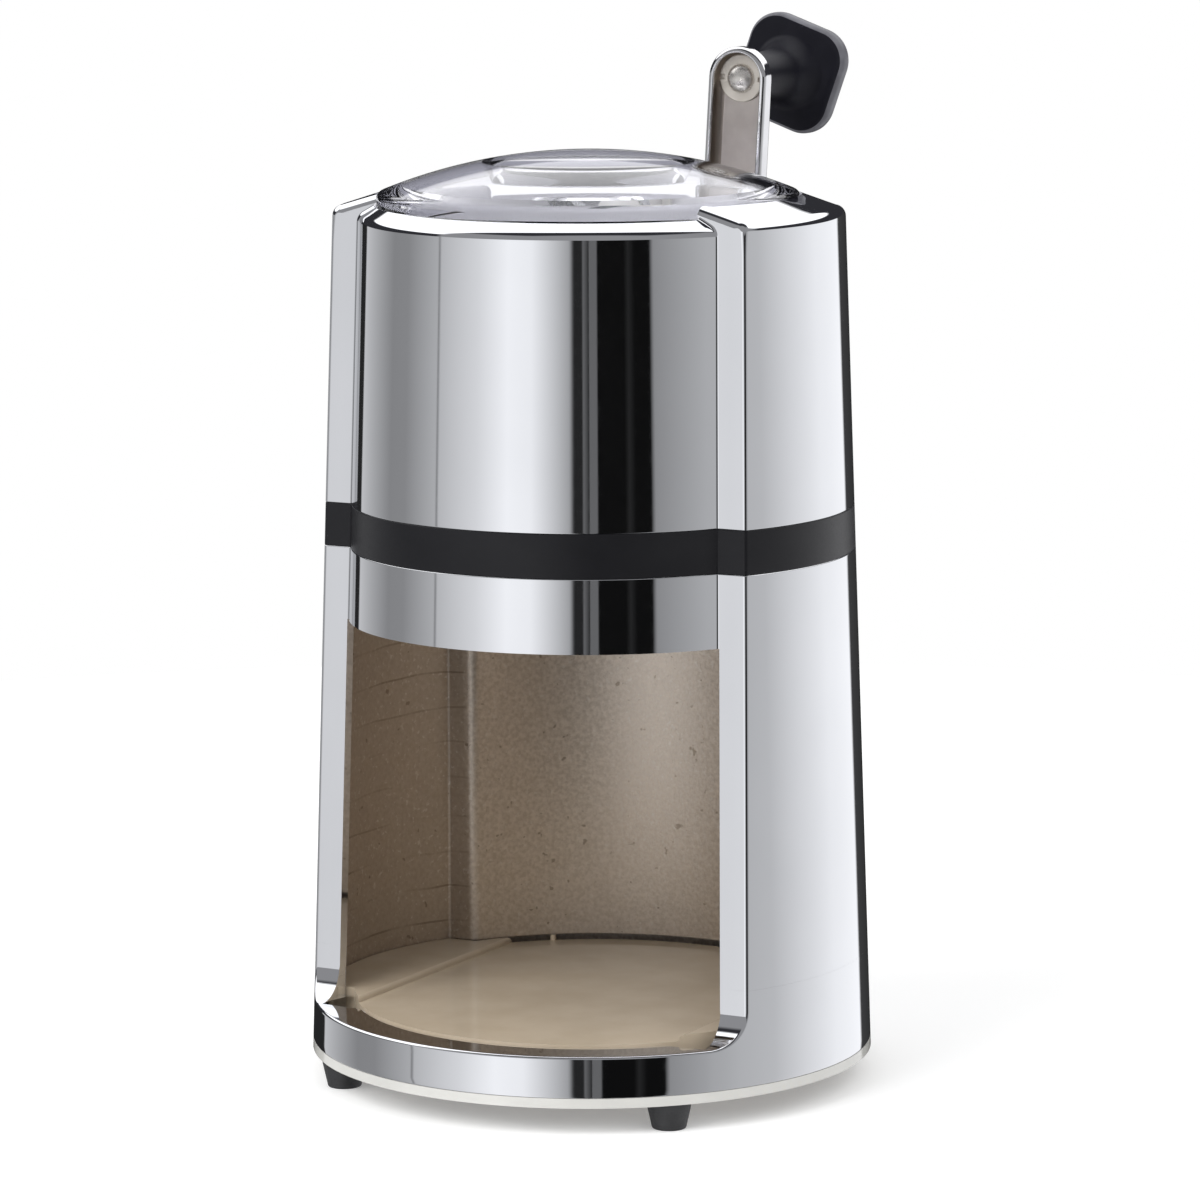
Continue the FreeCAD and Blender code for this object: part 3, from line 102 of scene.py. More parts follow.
# ------------ meshes from grids of points
class Shell:
    """Grids of points in millimetres, welded into one mesh."""

    def __init__(self):
        self.points, self.faces, self.slots = [], [], []

    def grid(self, rows, slot=0, closed=False):
        rows = np.asarray(rows, float)
        count, across = rows.shape[:2]
        base = len(self.points)
        self.points.extend(rows.reshape(-1, 3).tolist())
        for i in range(count - 1):
            for j in range(across if closed else across - 1):
                a, b = base + i * across + j, base + i * across + (j + 1) % across
                self.faces.append((a, b, b + across, a + across))
                self.slots.append(slot)

    def face(self, loop):
        base = len(self.points)
        self.points.extend(np.asarray(loop, float).tolist())
        self.faces.append(tuple(range(base, base + len(loop))))
        self.slots.append(0)

    def mirror(self, axis):
        """Adds a copy of everything so far, mirrored in the plane across this axis."""
        base = len(self.points)
        flipped = np.array(self.points)
        flipped[:, axis] *= -1
        self.points.extend(flipped.tolist())
        self.faces.extend([tuple(base + k for k in reversed(f)) for f in self.faces])
        self.slots.extend(self.slots)

    def turn(self, angle, centre):
        """Turns all points about the Y direction through centre."""
        matrix = np.array(Matrix.Rotation(angle, 3, Vector((0, 1, 0))))
        centre = np.array(centre, float)
        self.points = ((np.array(self.points) - centre) @ matrix.T + centre).tolist()

    def build(self, name, body, materials, node, bevel=0.0, sharp=32.0):
        """Makes the piece that stands for a CAD node; edges sharper than so many degrees stay sharp."""
        mesh = bpy.data.meshes.new(name)
        mesh.from_pydata((np.array(self.points) * MM).tolist(), [], self.faces)
        for polygon, number in zip(mesh.polygons, self.slots):
            polygon.material_index = number
        work = bmesh.new()
        work.from_mesh(mesh)
        bmesh.ops.remove_doubles(work, verts=work.verts, dist=2e-6)
        bmesh.ops.dissolve_degenerate(work, edges=work.edges, dist=1e-7)
        bmesh.ops.recalc_face_normals(work, faces=work.faces)
        limit = math.radians(sharp)
        for edge in work.edges:
            edge.smooth = len(edge.link_faces) == 2 and edge.calc_face_angle(0) < limit
        for face in work.faces:
            face.smooth = True
        work.to_mesh(mesh)
        work.free()
        obj = add_object(name, mesh)
        for material in materials:
            mesh.materials.append(material)
        if bevel:
            edge_bevel = obj.modifiers.new("edge_bevel", "BEVEL")
            edge_bevel.width = bevel * MM
            edge_bevel.segments = 2
            edge_bevel.limit_method = "ANGLE"
            edge_bevel.angle_limit = math.radians(40)
            edge_bevel.use_clamp_overlap = True
        weighted = obj.modifiers.new("weighted_normals", "WEIGHTED_NORMAL")
        weighted.keep_sharp = True
        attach(obj, body)
        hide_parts(node)


def unit(v):
    v = np.asarray(v, float)
    return v / np.linalg.norm(v)


def slerp(a, b, count):
    """Unit vectors from a to b, evenly turned."""
    angle = math.acos(max(-1.0, min(1.0, float(a @ b))))
    t = np.linspace(0, 1, count)[:, None]
    if angle < 1e-6:
        return np.repeat(a[None], count, 0)
    return (np.sin((1 - t) * angle) * a + np.sin(t * angle) * b) / math.sin(angle)


def fillet(corner, first, second, radius, count):
    """An arc that rounds a corner, from the face with the first normal to the one with the second.

    The radius is negative in a hollow corner.
    """
    centre = corner - radius * (first + second) / (1 + first @ second)
    return centre + radius * slerp(first, second, count)


def rounded_profile(points, rounds, steps=5):
    """A polyline whose inner corners are arcs of the given radii."""
    points = [np.array(p, float) for p in points]
    out = [points[0]]
    for before, corner, after, radius in zip(points, points[1:], points[2:], rounds):
        if radius <= 0:
            out.append(corner)
            continue
        a, b = unit(before - corner), unit(after - corner)
        half = math.acos(max(-1.0, min(1.0, float(a @ b)))) / 2
        reach = radius / math.tan(half)
        centre = corner + unit(a + b) * radius / math.sin(half)
        start, end = corner + a * reach - centre, corner + b * reach - centre
        out.extend(centre + radius * slerp(unit(start), unit(end), steps + 1))
    out.append(points[-1])
    return np.array(out)


def ring_points(radii, angles, heights):
    """Points round the Z axis; radii and heights are single numbers or one for each angle."""
    return np.stack(np.broadcast_arrays(radii * np.cos(angles), radii * np.sin(angles), heights), 1)


def ring_about_y(radii, angles, places):
    """The same round the Y direction."""
    return np.stack(np.broadcast_arrays(radii * np.cos(angles), places, radii * np.sin(angles)), 1)


def arc_points(radius, start, end, count, z):
    return ring_points(radius, np.linspace(start, end, count), z)


def bearing(point):
    """The angle of a point round the Z axis."""
    return math.atan2(point[1], point[0])


def on_circle(row, radius, z):
    """A row's points, each moved straight out or in to a level circle."""
    outward = row[:, :2] / np.linalg.norm(row[:, :2], axis=1)[:, None]
    return np.column_stack((outward * radius, np.full(len(row), z)))


def full_turn(count):
    return np.linspace(0, 2 * math.pi, count, endpoint=False)


def lathe(shell, profile, centre, axis="y", segments=72):
    """Turns a profile of (radius, distance along the axis) round the axis through centre."""
    ring = ring_about_y if axis == "y" else ring_points
    rows = [ring(radius, full_turn(segments), along) for radius, along in profile]
    shell.grid(np.array(rows) + np.array(centre, float), closed=True)


# ------------ body outline
def radius_at(z):
    return BASE_RADIUS - TAPER * (z - HOUSING_LOW)


def panel_radius_at(z):
    return radius_at(z) - RECESS


def half_at(z):
    return WING_HALF - TAPER * (z - HOUSING_LOW)


ALL_PARTS = ("panel", "corner", "side", "edge", "wing")
BESIDE_WINDOW = ("side", "edge", "wing")
INSIDE = {"inset": WALL, "edge_round": INNER_EDGE_ROUND, "corner_round": INNER_CORNER_ROUND}


def quarter(z, inset=0.0, edge_round=EDGE_ROUND, corner_round=CORNER_ROUND):
    """The outline's front right quarter: panel, concave corner, side wall, edge round and wing, as points.

    Runs from the middle of the front to the wing's middle.
    """
    radius, half = radius_at(z) - inset, half_at(z) - inset
    panel = radius - RECESS
    wall = np.array((0.0, -1.0, 0.0))
    corner = np.array((math.sqrt(panel**2 - half**2), -half, z))
    edge = np.array((math.sqrt(radius**2 - half**2), -half, z))
    corner_arc = fillet(corner, unit((corner[0], corner[1], 0)), wall, -corner_round, CORNER_POINTS)
    edge_arc = fillet(edge, wall, unit((edge[0], edge[1], 0)), edge_round, EDGE_POINTS)
    panel_arc = arc_points(panel, -math.pi / 2, bearing(corner_arc[0]), PANEL_POINTS, z)
    panel_arc[-1] = corner_arc[0]
    wing_arc = arc_points(radius, bearing(edge_arc[-1]), 0, WING_POINTS, z)
    wing_arc[0] = edge_arc[-1]
    side = np.linspace(corner_arc[-1], edge_arc[0], 3)
    return {"panel": panel_arc, "corner": corner_arc, "side": side, "edge": edge_arc, "wing": wing_arc}


def joined(parts, names=ALL_PARTS):
    return np.concatenate([parts[names[0]]] + [parts[n][1:] for n in names[1:]])


def half_loop(z, names=ALL_PARTS, **options):
    """The right half of the outline, from the middle of the front to the middle of the back.

    Of its front quarter, it has only the parts named.
    """
    parts = quarter(z, **options)
    back = (joined(parts) * np.array((1, -1, 1)))[::-1]
    return np.concatenate((joined(parts, names), back[1:]))


def rim_rows(z, direction, inward):
    """Rows that round an outline's end and turn in; direction is 1 at a top and -1 at a bottom."""
    rows = []
    for angle in np.linspace(0, math.pi / 2, 4):
        rows.append(half_loop(z - direction * RIM_CHAMFER * (1 - math.sin(angle)),
                              inset=RIM_CHAMFER * (1 - math.cos(angle))))
    rows.append(half_loop(z, inset=inward))
    return rows


# ------------ lower housing
def recess(sign, ledge, wall_heights):
    """A recess's right edge, down the side wall, round the cove and along the ledge.

    sign is -1 at the front and 1 at the back. Gives the wing skin's border, the strips that round the
    edge, the rows from there in to the panel or the ledge's lip, and how many rows are above the ledge.
    """
    lean = math.atan(TAPER)
    wall, up = unit((0, 1, TAPER)), np.array((0.0, 0.0, 1.0))
    centre_z = ledge + COVE
    centre_y = half_at(centre_z) + COVE / math.cos(lean)
    samples = []
    for z in wall_heights:
        inner_x = quarter(z)["corner"][-1][0]
        samples.append(((math.sqrt(radius_at(z)**2 - half_at(z)**2), half_at(z), z), wall,
                        (inner_x, half_at(z), z)))
    for normal in slerp(wall, up, 13)[1:]:
        y, z = centre_y - COVE * normal[1], centre_z - COVE * normal[2]
        inner_x = quarter(ledge)["corner"][-1][0] if sign < 0 else math.sqrt(panel_radius_at(z)**2 - y**2)
        samples.append(((math.sqrt(radius_at(z)**2 - y**2), y, z), normal, (inner_x, y, z)))
    above_ledge = len(samples)
    radius, last_y = radius_at(ledge), samples[-1][0][1]
    inner_radius = LEDGE_INNER if sign < 0 else panel_radius_at(ledge)
    outer = arc_points(radius, math.asin(last_y / radius), math.pi / 2, LEDGE_POINTS, ledge)
    inner = arc_points(inner_radius, math.asin(last_y / inner_radius), math.pi / 2, LEDGE_POINTS, ledge)
    samples += [(a, up, b) for a, b in zip(outer[1:], inner[1:])]
    strips, inward = [], []
    for edge, normal, inner_end in samples:
        outward = unit((edge[0], edge[1], TAPER * math.hypot(edge[0], edge[1])))
        edge_round = EDGE_ROUND + (LEDGE_ROUND - EDGE_ROUND) * normal[2]
        arc = fillet(np.array(edge), outward, normal, edge_round, EDGE_POINTS)
        strips.append(arc)
        inward.append(np.linspace(arc[-1], inner_end, 4))
    side = np.array((1, sign, 1))
    strips = np.array(strips) * side
    return strips[:, 0], strips, np.array(inward) * side, above_ledge


def wing_and_rail(front_skin, back_skin, above_ledge):
    """The lower part of the wing's skin, between its two edges, and the rail below it."""
    across = 25
    wing = []
    for a, b in zip(front_skin[:above_ledge], back_skin[:above_ledge]):
        heights = np.linspace(a[2], b[2], across)
        row = ring_points(radius_at(heights), np.linspace(bearing(a), bearing(b), across), heights)
        row[0], row[-1] = a, b
        wing.append(row)
    top = np.concatenate((front_skin[above_ledge - 1:][::-1], wing[-1][1:-1], back_skin[above_ledge - 1:]))
    angles = np.arctan2(top[:, 1], top[:, 0])
    low = HOUSING_LOW + LOW_CHAMFER
    rail = [top]
    for t in np.linspace(0, 1, 8)[1:]:
        heights = top[:, 2] * (1 - t) + low * t
        rail.append(ring_points(radius_at(heights), angles, heights))
    for drop, inset in ((0.2, 0.1), (LOW_CHAMFER, LOW_CHAMFER), (LOW_CHAMFER, WALL)):
        rail.append(ring_points(radius_at(HOUSING_LOW) - inset, angles, low - drop))
    return wing, rail


def bay_wall(shell):
    """The lower housing's inner skin, down to behind the base plate's edge."""
    low, skirt = BACK_RAIL_TOP - WALL, 6.0
    shell.grid([half_loop(z, **INSIDE) for z in np.linspace(BAND_LOW, WINDOW_TOP, 4)], 1)
    rows = []
    for z in np.linspace(WINDOW_TOP, low, 24):
        row = half_loop(z, BESIDE_WINDOW, **INSIDE)
        row[0] = (quarter(z)["corner"][-1][0], row[0][1], z)
        row[1] = (row[0] + row[2]) / 2
        rows.append(row)
    # under the back ledge the wall runs out to the wings' radius, then down
    foot = rows[-1]
    behind = foot[:, 1] > half_at(low) - WALL - 0.01
    under = foot.copy()
    under[behind] = on_circle(foot[behind], radius_at(low) - WALL, low)
    shell.grid(rows + [under, under - np.array((0, 0, skirt))], 1)


def window_faces(shell, heights, ledge_row, cove_ends):
    """The wall's thickness round the window, and the flat corner on the ledge."""
    outer = joined(quarter(WINDOW_TOP), ("panel", "corner"))
    inner = joined(quarter(WINDOW_TOP, **INSIDE), ("panel", "corner"))
    inner[-1][0] = outer[-1][0]
    shell.grid([outer, inner])
    outer = [(quarter(z)["corner"][-1][0], -half_at(z), z) for z in heights] + [tuple(p) for p in cove_ends]
    inner = [(x, -(half_at(z) - WALL), z) for x, _, z in outer]
    shell.grid([outer, inner])
    inner_y = inner[-1][1]
    corner = (math.sqrt(LEDGE_INNER**2 - inner_y**2), inner_y, RAIL_TOP)
    shell.face([ledge_row[0], outer[-1], inner[-1], corner])


def lower_housing(chrome, inside):
    lip_depth = 2.5
    cove_reach = COVE * (1 - math.sin(math.atan(TAPER)))
    cove_top, front_cove_top = BACK_RAIL_TOP + cove_reach, RAIL_TOP + cove_reach
    shell = Shell()
    # above the window, then beside it down to where the back's cove starts
    above = [half_loop(z) for z in np.linspace(BAND_LOW - RIM_CHAMFER, WINDOW_TOP, 6)]
    shell.grid(rim_rows(BAND_LOW, 1, RIM_INWARD)[::-1] + above[1:])
    beside = np.linspace(WINDOW_TOP, cove_top, 26)
    shell.grid([half_loop(z, BESIDE_WINDOW) for z in beside])
    # round the coves and along the ledges
    heights = np.linspace(cove_top, front_cove_top, 4)
    front_skin, front_strips, front, above_ledge = recess(-1, RAIL_TOP, heights)
    back_skin, back_strips, back, _ = recess(1, BACK_RAIL_TOP, [cove_top] * 4)
    wing, rail = wing_and_rail(front_skin, back_skin, above_ledge)
    for rows in (front_strips, front, back_strips, back, wing, rail):
        shell.grid(rows)
    # the back panel, and the front ledge's lip
    panel = []
    for end in back[:above_ledge, -1]:
        row = arc_points(panel_radius_at(end[2]), bearing(end), math.pi / 2, LEDGE_POINTS, end[2])
        row[0] = end
        panel.append(row)
    shell.grid(panel)
    lip = front[above_ledge - 1:, -1]
    shell.grid([lip, lip - np.array((0, 0, lip_depth))])
    bay_wall(shell)
    window_faces(shell, beside, front[above_ledge - 1], front[1:above_ledge, -1])
    shell.mirror(0)
    shell.build("lower_housing_skin", "frame", [chrome, inside], "lower_housing")


# ------------ joint band
def joint_band(satin):
    shell = Shell()
    rows = rim_rows(BAND_HIGH, 1, BAND_WALL)[::-1]
    middle = np.linspace(BAND_HIGH - RIM_CHAMFER, BAND_LOW + RIM_CHAMFER, 5)[1:-1]
    rows += [half_loop(z) for z in middle] + rim_rows(BAND_LOW, -1, BAND_WALL)
    rows.append(half_loop(BAND_HIGH, inset=BAND_WALL))
    shell.grid(rows)
    shell.mirror(0)
    shell.build("joint_band_skin", "frame", [satin], "joint_band")


# ------------ upper housing
def meridian(radius, shoulder, top, shoulder_round):
    """From the band up over the shoulder to the lid's seat, as (radius, height), and the normals there."""
    bend_start = shoulder - 4
    low = np.array([(radius(z), z) for z in np.linspace(BAND_HIGH + RIM_CHAMFER, bend_start, 20)])
    bend = rounded_profile([low[-1], (radius(shoulder), shoulder), (SEAT_RADIUS, top)], [shoulder_round], 8)
    profile = np.concatenate((low, bend[1:-1], np.linspace(bend[-2], bend[-1], 5)[1:]))
    along = np.gradient(profile, axis=0)
    normals = np.stack((along[:, 1], -along[:, 0]), 1)
    return profile, normals / np.linalg.norm(normals, axis=1)[:, None]


def at_side_wall(place, profile_normal):
    """Where a turned surface, at this (radius, height), meets the side wall, and its normal there."""
    radius, z = place
    half = half_at(z)
    point = np.array((math.sqrt(radius**2 - half**2), -half, z))
    out = unit((point[0], point[1], 0))
    return point, unit((out[0] * profile_normal[0], out[1] * profile_normal[0], profile_normal[1]))


def upper_rows():
    """The upper housing's front right quarter, row by row up to the lid's seat."""
    round_grows = (WING_SHOULDER - 6, WING_SHOULDER)
    side = unit((0, -1, TAPER))
    rows = []
    for wing, wing_normal, panel, panel_normal in zip(
        *meridian(radius_at, WING_SHOULDER, WING_TOP, WING_SHOULDER_ROUND),
        *meridian(panel_radius_at, PANEL_SHOULDER, PANEL_TOP, PANEL_SHOULDER_ROUND),
    ):
        edge, normal = at_side_wall(wing, wing_normal)
        edge_round = np.interp(wing[1], round_grows, (EDGE_ROUND, TOP_EDGE_ROUND))
        edge_arc = fillet(edge, side, normal, edge_round, EDGE_POINTS)
        corner, normal = at_side_wall(panel, panel_normal)
        corner_arc = fillet(corner, normal, side, -CORNER_ROUND, CORNER_POINTS)
        panel_arc = arc_points(panel[0], -math.pi / 2, bearing(corner_arc[0]), PANEL_POINTS, panel[1])
        panel_arc[-1] = corner_arc[0]
        wing_arc = arc_points(wing[0], bearing(edge_arc[-1]), 0, WING_POINTS, wing[1])
        side_row = np.linspace(corner_arc[-1], edge_arc[0], 3)
        rows.append(np.concatenate((panel_arc, corner_arc[1:], side_row[1:], edge_arc[1:], wing_arc[1:])))
    return rows


def upper_housing(chrome, inside, seat):
    seat_chamfer = 0.2
    pad_radius, pad_root, pad_face, pad_bore = 13, 50, 57.5, 5.6
    shell = Shell()
    rows = upper_rows()
    rim = [row[: len(rows[0])] for row in rim_rows(BAND_HIGH, -1, RIM_INWARD)]
    shell.grid(rim[:0:-1] + rows[:1])
    # the inner skin and the roof, as far as the mouth
    inner = [joined(quarter(z, **INSIDE)) for z in np.linspace(BAND_HIGH, ROOF, 4)]
    shell.grid([rim[-1]] + inner, 1)
    shell.grid([inner[-1], on_circle(inner[-1], MOUTH_RADIUS, ROOF)], 1)
    shell.grid(rows)
    # the seat's wall, its floor and the mouth's wall
    seat_profile = ((SEAT_RADIUS, SEAT + seat_chamfer), (SEAT_RADIUS, SEAT), (MOUTH_RADIUS, SEAT),
                    (MOUTH_RADIUS, ROOF))
    shell.grid([rows[-1]] + [on_circle(rows[-1], radius, z) for radius, z in seat_profile], 2)
    shell.mirror(1)
    shell.mirror(0)
    # the pad behind the crank's escutcheon
    pad = rounded_profile([(pad_radius, pad_root), (pad_radius, pad_face), (pad_bore, pad_face)], [0.4])
    lathe(shell, pad, SHAFT)
    shell.build("upper_housing_skin", "frame", [chrome, inside, seat], "upper_housing")


# ------------ turned and moulded pieces
def turned(name, body, material, node, profile, centre, axis="y", segments=72):
    """A piece that is one profile turned round an axis."""
    shell = Shell()
    lathe(shell, profile, centre, axis, segments)
    shell.build(name, body, [material], node)


def lid(clear):
    top, rim_radius, rim_low = 221.1, 50.01, 207.2
    skirt_outer, skirt_inner, skirt_low = 45.6, 43.4, 204.4
    middle_radius, hollow_radius, middle_low = 22.5, 24.5, 213.0
    ball, inner_ball = 131.2, 129.0
    dome_points, hollow_points = 40, 14

    def on_ball(radius, r):
        return (r, top - ball + math.sqrt(radius**2 - r**2))

    dome = [on_ball(ball, r) for r in np.linspace(0, rim_radius, dome_points)]
    rim = [(rim_radius, rim_low), (skirt_outer, rim_low), (skirt_outer, skirt_low), (skirt_inner, skirt_low)]
    hollow = [on_ball(inner_ball, r) for r in np.linspace(skirt_inner, hollow_radius, hollow_points)]
    middle = [(middle_radius, middle_low), (0, middle_low)]
    rounds = [0] * (dome_points - 2) + [2.0, 0.5, 0.4, 0.4, 0.4] + [0] * (hollow_points - 1) + [0.3, 0.8]
    turned("lid_clear", "lid", clear, "lid",
           rounded_profile(dome + rim + hollow + middle, rounds, 6), (0, 0, 0), "z", 240)


def slot_loop(radius, y):
    """The crank arm's outline, so far from the line between its two centres."""
    along = np.array((math.sin(CRANK_LEAN), 0, math.cos(CRANK_LEAN)))
    across = np.array((math.cos(CRANK_LEAN), 0, -math.sin(CRANK_LEAN)))
    low = np.array((0, y, SHAFT[2]))
    high = low + along * ARM_LENGTH
    points = []
    for centre, other, start, side in ((high, low, 0.0, -across), (low, high, math.pi, across)):
        for angle in np.linspace(start, start + math.pi, 25):
            points.append(centre + radius * (math.cos(angle) * across + math.sin(angle) * along))
        for t in np.linspace(0, 1, 9)[1:-1]:
            points.append(centre + (other - centre) * t + side * radius)
    return points


def crank_arm(bright, satin, painted_shade):
    web_front, web_back = 73.25, 74.75
    inner, outer, lip = 6.35, 7.85, 69.55
    inner_start, outer_start = (inner, 70.3), (outer, 71.2)
    inside = rounded_profile([(0.0, web_front), (inner, web_front), inner_start], [1.9], 8)
    tip = rounded_profile([inner_start, (inner, lip), (outer, lip), outer_start], [0.35, 1.1], 7)
    outside = rounded_profile([outer_start, (outer, web_back), (0.0, web_back)], [1.7], 6)
    shell = Shell()
    # the web is satin nickel; the inner fillet and flange walls take a darker copy of it, painted shade in
    # the channel
    for profile, slot in ((inside[:3], 1), (inside[2:], 2), (tip, 0), (outside, 0)):
        shell.grid([slot_loop(radius, y) for radius, y in profile], slot, closed=True)
    shell.build("crank_arm_pressed", "crank", [bright, satin, painted_shade], "crank_arm")


def knob_rivet(steel):
    head, head_depth, seat = 3.6, 2.2, 72.25
    shank, tail, tail_start, tail_end = 2.5, 4.2, 97.8, 99.4
    dome = [(head * math.cos(a), seat - head_depth * math.sin(a)) for a in np.linspace(math.pi / 2, 0.0, 13)]
    rest = [(shank, seat), (shank, tail_start), (tail, tail_start), (tail, tail_end), (0, tail_end)]
    turned("knob_rivet_domed", "crank", steel, "knob_rivet", dome + rest, RIVET, segments=64)


def knob_washer(steel):
    hole, land, outer = 2.55, 4.6, 5.9
    face, back, notch_floor, notch_half_width = 72.25, 73.25, 72.8, 0.13
    angles = full_turn(144)
    in_notch = np.abs(np.sin(angles)) < notch_half_width
    rows = []
    for radius, y, is_notched in ((hole, back, False), (hole, face, False), (land, face, False),
                                  (land, face, True), (outer - 0.2, face, True), (outer, face + 0.2, True),
                                  (outer, back, False), (hole, back, False)):
        rows.append(ring_about_y(radius, angles, np.where(in_notch & is_notched, notch_floor, y)))
    shell = Shell()
    shell.grid(np.array(rows) + np.array(RIVET), closed=True)
    shell.turn(CRANK_LEAN, RIVET)
    shell.build("knob_washer_notched", "crank", [steel], "knob_washer", bevel=0.08)


def crank_washer(bright):
    hole, outer, front, back = 3.05, 6.2, 74.75, 75.95
    middle = (hole, 75.3)
    outline = [middle, (hole, back), (outer, back), (outer, front), (hole, front), middle]
    turned("crank_washer_turned", "crank", bright, "crank_washer",
           rounded_profile(outline, [0.1, 0.35, 0.35, 0.1], 3), SHAFT)


def crank_nut(bright):
    start, height, dome = 75.95, 4.6, 4.4
    hole, half_across_flats, corner_radius = 3.3, 5.0, 5.8
    front_edge, back_edge = 5.15, 5.05
    sixth = math.pi / 3
    angles = full_turn(120)
    hexagon = half_across_flats / np.cos((angles + sixth / 2) % sixth - sixth / 2)
    levels = ((0.0, hole), (0.0, front_edge), (0.35, corner_radius), (height - 0.45, corner_radius),
              (height, back_edge), (height, dome))
    rows = [ring_about_y(np.minimum(hexagon, limit), angles, start + y) for y, limit in levels]
    for rise in np.linspace(0.12, math.pi / 2, 12):
        rows.append(ring_about_y(dome * math.cos(rise), angles, start + height + dome * math.sin(rise)))
    shell = Shell()
    shell.grid(np.array(rows) + np.array(SHAFT), closed=True)
    shell.turn(CRANK_LEAN, SHAFT)
    shell.build("crank_nut_domed", "crank", [bright], "crank_nut", bevel=0.12)


def escutcheon(bright):
    pad, pad_face, skirt_end = 13.05, 57.5, 56.2
    flange, flange_face, boss, boss_face, bore = 15, 58.5, 8, 61, 5.3
    outline = [(pad, pad_face), (pad, skirt_end), (flange, skirt_end), (flange, flange_face),
               (boss, boss_face), (bore, boss_face), (bore, pad_face), (pad, pad_face)]
    turned("rear_escutcheon_turned", "frame", bright, "rear_escutcheon",
           rounded_profile(outline, [0.2, 0.3, 1.0, 1.2, 0.3, 0.2], 5), SHAFT, segments=96)


def rounded_rectangle(half_width, half_length, corner, angles):
    """Distances from the centre to a rounded rectangle's outline, at these angles."""
    out = []
    for angle in angles:
        c, s = abs(math.cos(angle)), abs(math.sin(angle))
        centre = (half_width - corner, half_length - corner)
        reach = min(half_width / c if c > 1e-9 else 1e9, half_length / s if s > 1e-9 else 1e9)
        if c * reach > centre[0] and s * reach > centre[1]:
            middle = c * centre[0] + s * centre[1]
            reach = middle + math.sqrt(middle**2 - centre[0] ** 2 - centre[1] ** 2 + corner**2)
        out.append(reach)
    return np.array(out)


def knob(plastic, painted_sheen):
    """The knob as rings from the arm's side to its back face, and the cap in that face."""
    half_width, half_height, corner = 13.65, 13.5, 8.0
    stem_start, stem_end, flare_end = 75.45, 90.2, 97.8
    stem_thin, stem_thick, flare_radius = 5.4, 6.3, 9.3
    front_round, front_edge = 1.6, 99.9
    back_round, back_edge, back_face = 2.3, 101.3, 103.6
    counterbore, counterbore_floor = 5.0, 101.5
    edge_low, edge_high, edge_least = 98.45, 103.0, 9.0
    angles = full_turn(144)
    radii, places = [], []

    def ring(radius, y):
        radii.append(np.full(len(angles), float(radius)))
        places.append(y)

    def loop(inset, y, share=1.0, circle=0.0):
        """The plate's outline, so far in from its edge and mixed with a circle."""
        outline = rounded_rectangle(half_width - inset, half_height - inset, max(corner - inset, 2.0), angles)
        radii.append(outline * share + circle * (1 - share))
        places.append(y)

    for radius, y in ((2.6, 75.05), (5.0, 75.05), (5.3, 75.15), (stem_thin, stem_start)):
        ring(radius, y)
    for t in np.linspace(0, 1, 6)[1:]:
        ring(stem_thin + (stem_thick - stem_thin) * t, stem_start + (stem_end - stem_start) * t)
    for t in np.linspace(0, 1, 10)[1:]:
        ring(stem_thick + (flare_radius - stem_thick) * t**2.2, stem_end + (flare_end - stem_end) * t)
    for t in np.linspace(0, 1, 7)[1:]:
        loop(2.4, flare_end + 0.5 * math.sin(t * math.pi / 2), t**1.3, flare_radius + 1.6 * t)
    for angle in np.linspace(0, math.pi / 2, 7):
        loop(front_round * (1 - math.sin(angle)), front_edge - front_round * math.cos(angle))
    loop(0.0, 100.6)
    loop(0.0, back_edge)
    for angle in np.linspace(0, math.pi / 2, 8)[1:]:
        loop(back_round * (1 - math.cos(angle)), back_edge + back_round * math.sin(angle))
    loop(4.5, back_face, 0.8, 9.0)
    for radius, y in ((5.3, back_face), (counterbore, 103.4), (counterbore, counterbore_floor),
                      (0, counterbore_floor)):
        ring(radius, y)

    rows = np.array([ring_about_y(r, angles, y) for r, y in zip(radii, places)]) + np.array(RIVET)
    # the plate's edge is painted paler than its faces, a painted sheen
    edge = [k for k, y in enumerate(places) if edge_low < y < edge_high and radii[k][0] > edge_least]
    first, last = edge[0], edge[-1]
    shell = Shell()
    for part, slot in ((rows[: first + 1], 0), (rows[first: last + 1], 1), (rows[last:], 0)):
        shell.grid(part, slot, closed=True)
    shell.turn(KNOB_TURN, RIVET)
    shell.build("knob_moulded", "knob", [plastic, painted_sheen], "knob", sharp=40.0)

    cap, cap_floor = counterbore - 0.05, counterbore_floor + 0.1
    outline = [(0, back_face), (cap, back_face), (cap, cap_floor), (0, cap_floor)]
    turned("knob_cap_moulded", "knob", plastic, "knob_cap",
           rounded_profile(outline, [0.4, 0.2], 4), RIVET, segments=64)


def feet(rubber):
    hole, counterbore, floor, top = 1.9, 3.3, 3.4, 6.5
    low_radius, top_radius = 3.95, 5.4
    outline = [(hole, floor), (counterbore, floor), (counterbore, 0.0), (low_radius, 0.0),
               (top_radius, top), (hole, top)]
    profile = rounded_profile(outline, [0.2, 0.25, 0.4, 0.2], 4)
    reach = 43.5
    for y_name, y in (("front", -reach), ("back", reach)):
        for x_name, x in (("left", -reach), ("right", reach)):
            name = f"foot_{y_name}_{x_name}"
            turned(name + "_moulded", "frame", rubber, name, profile, (x, y, 0), "z", 64)


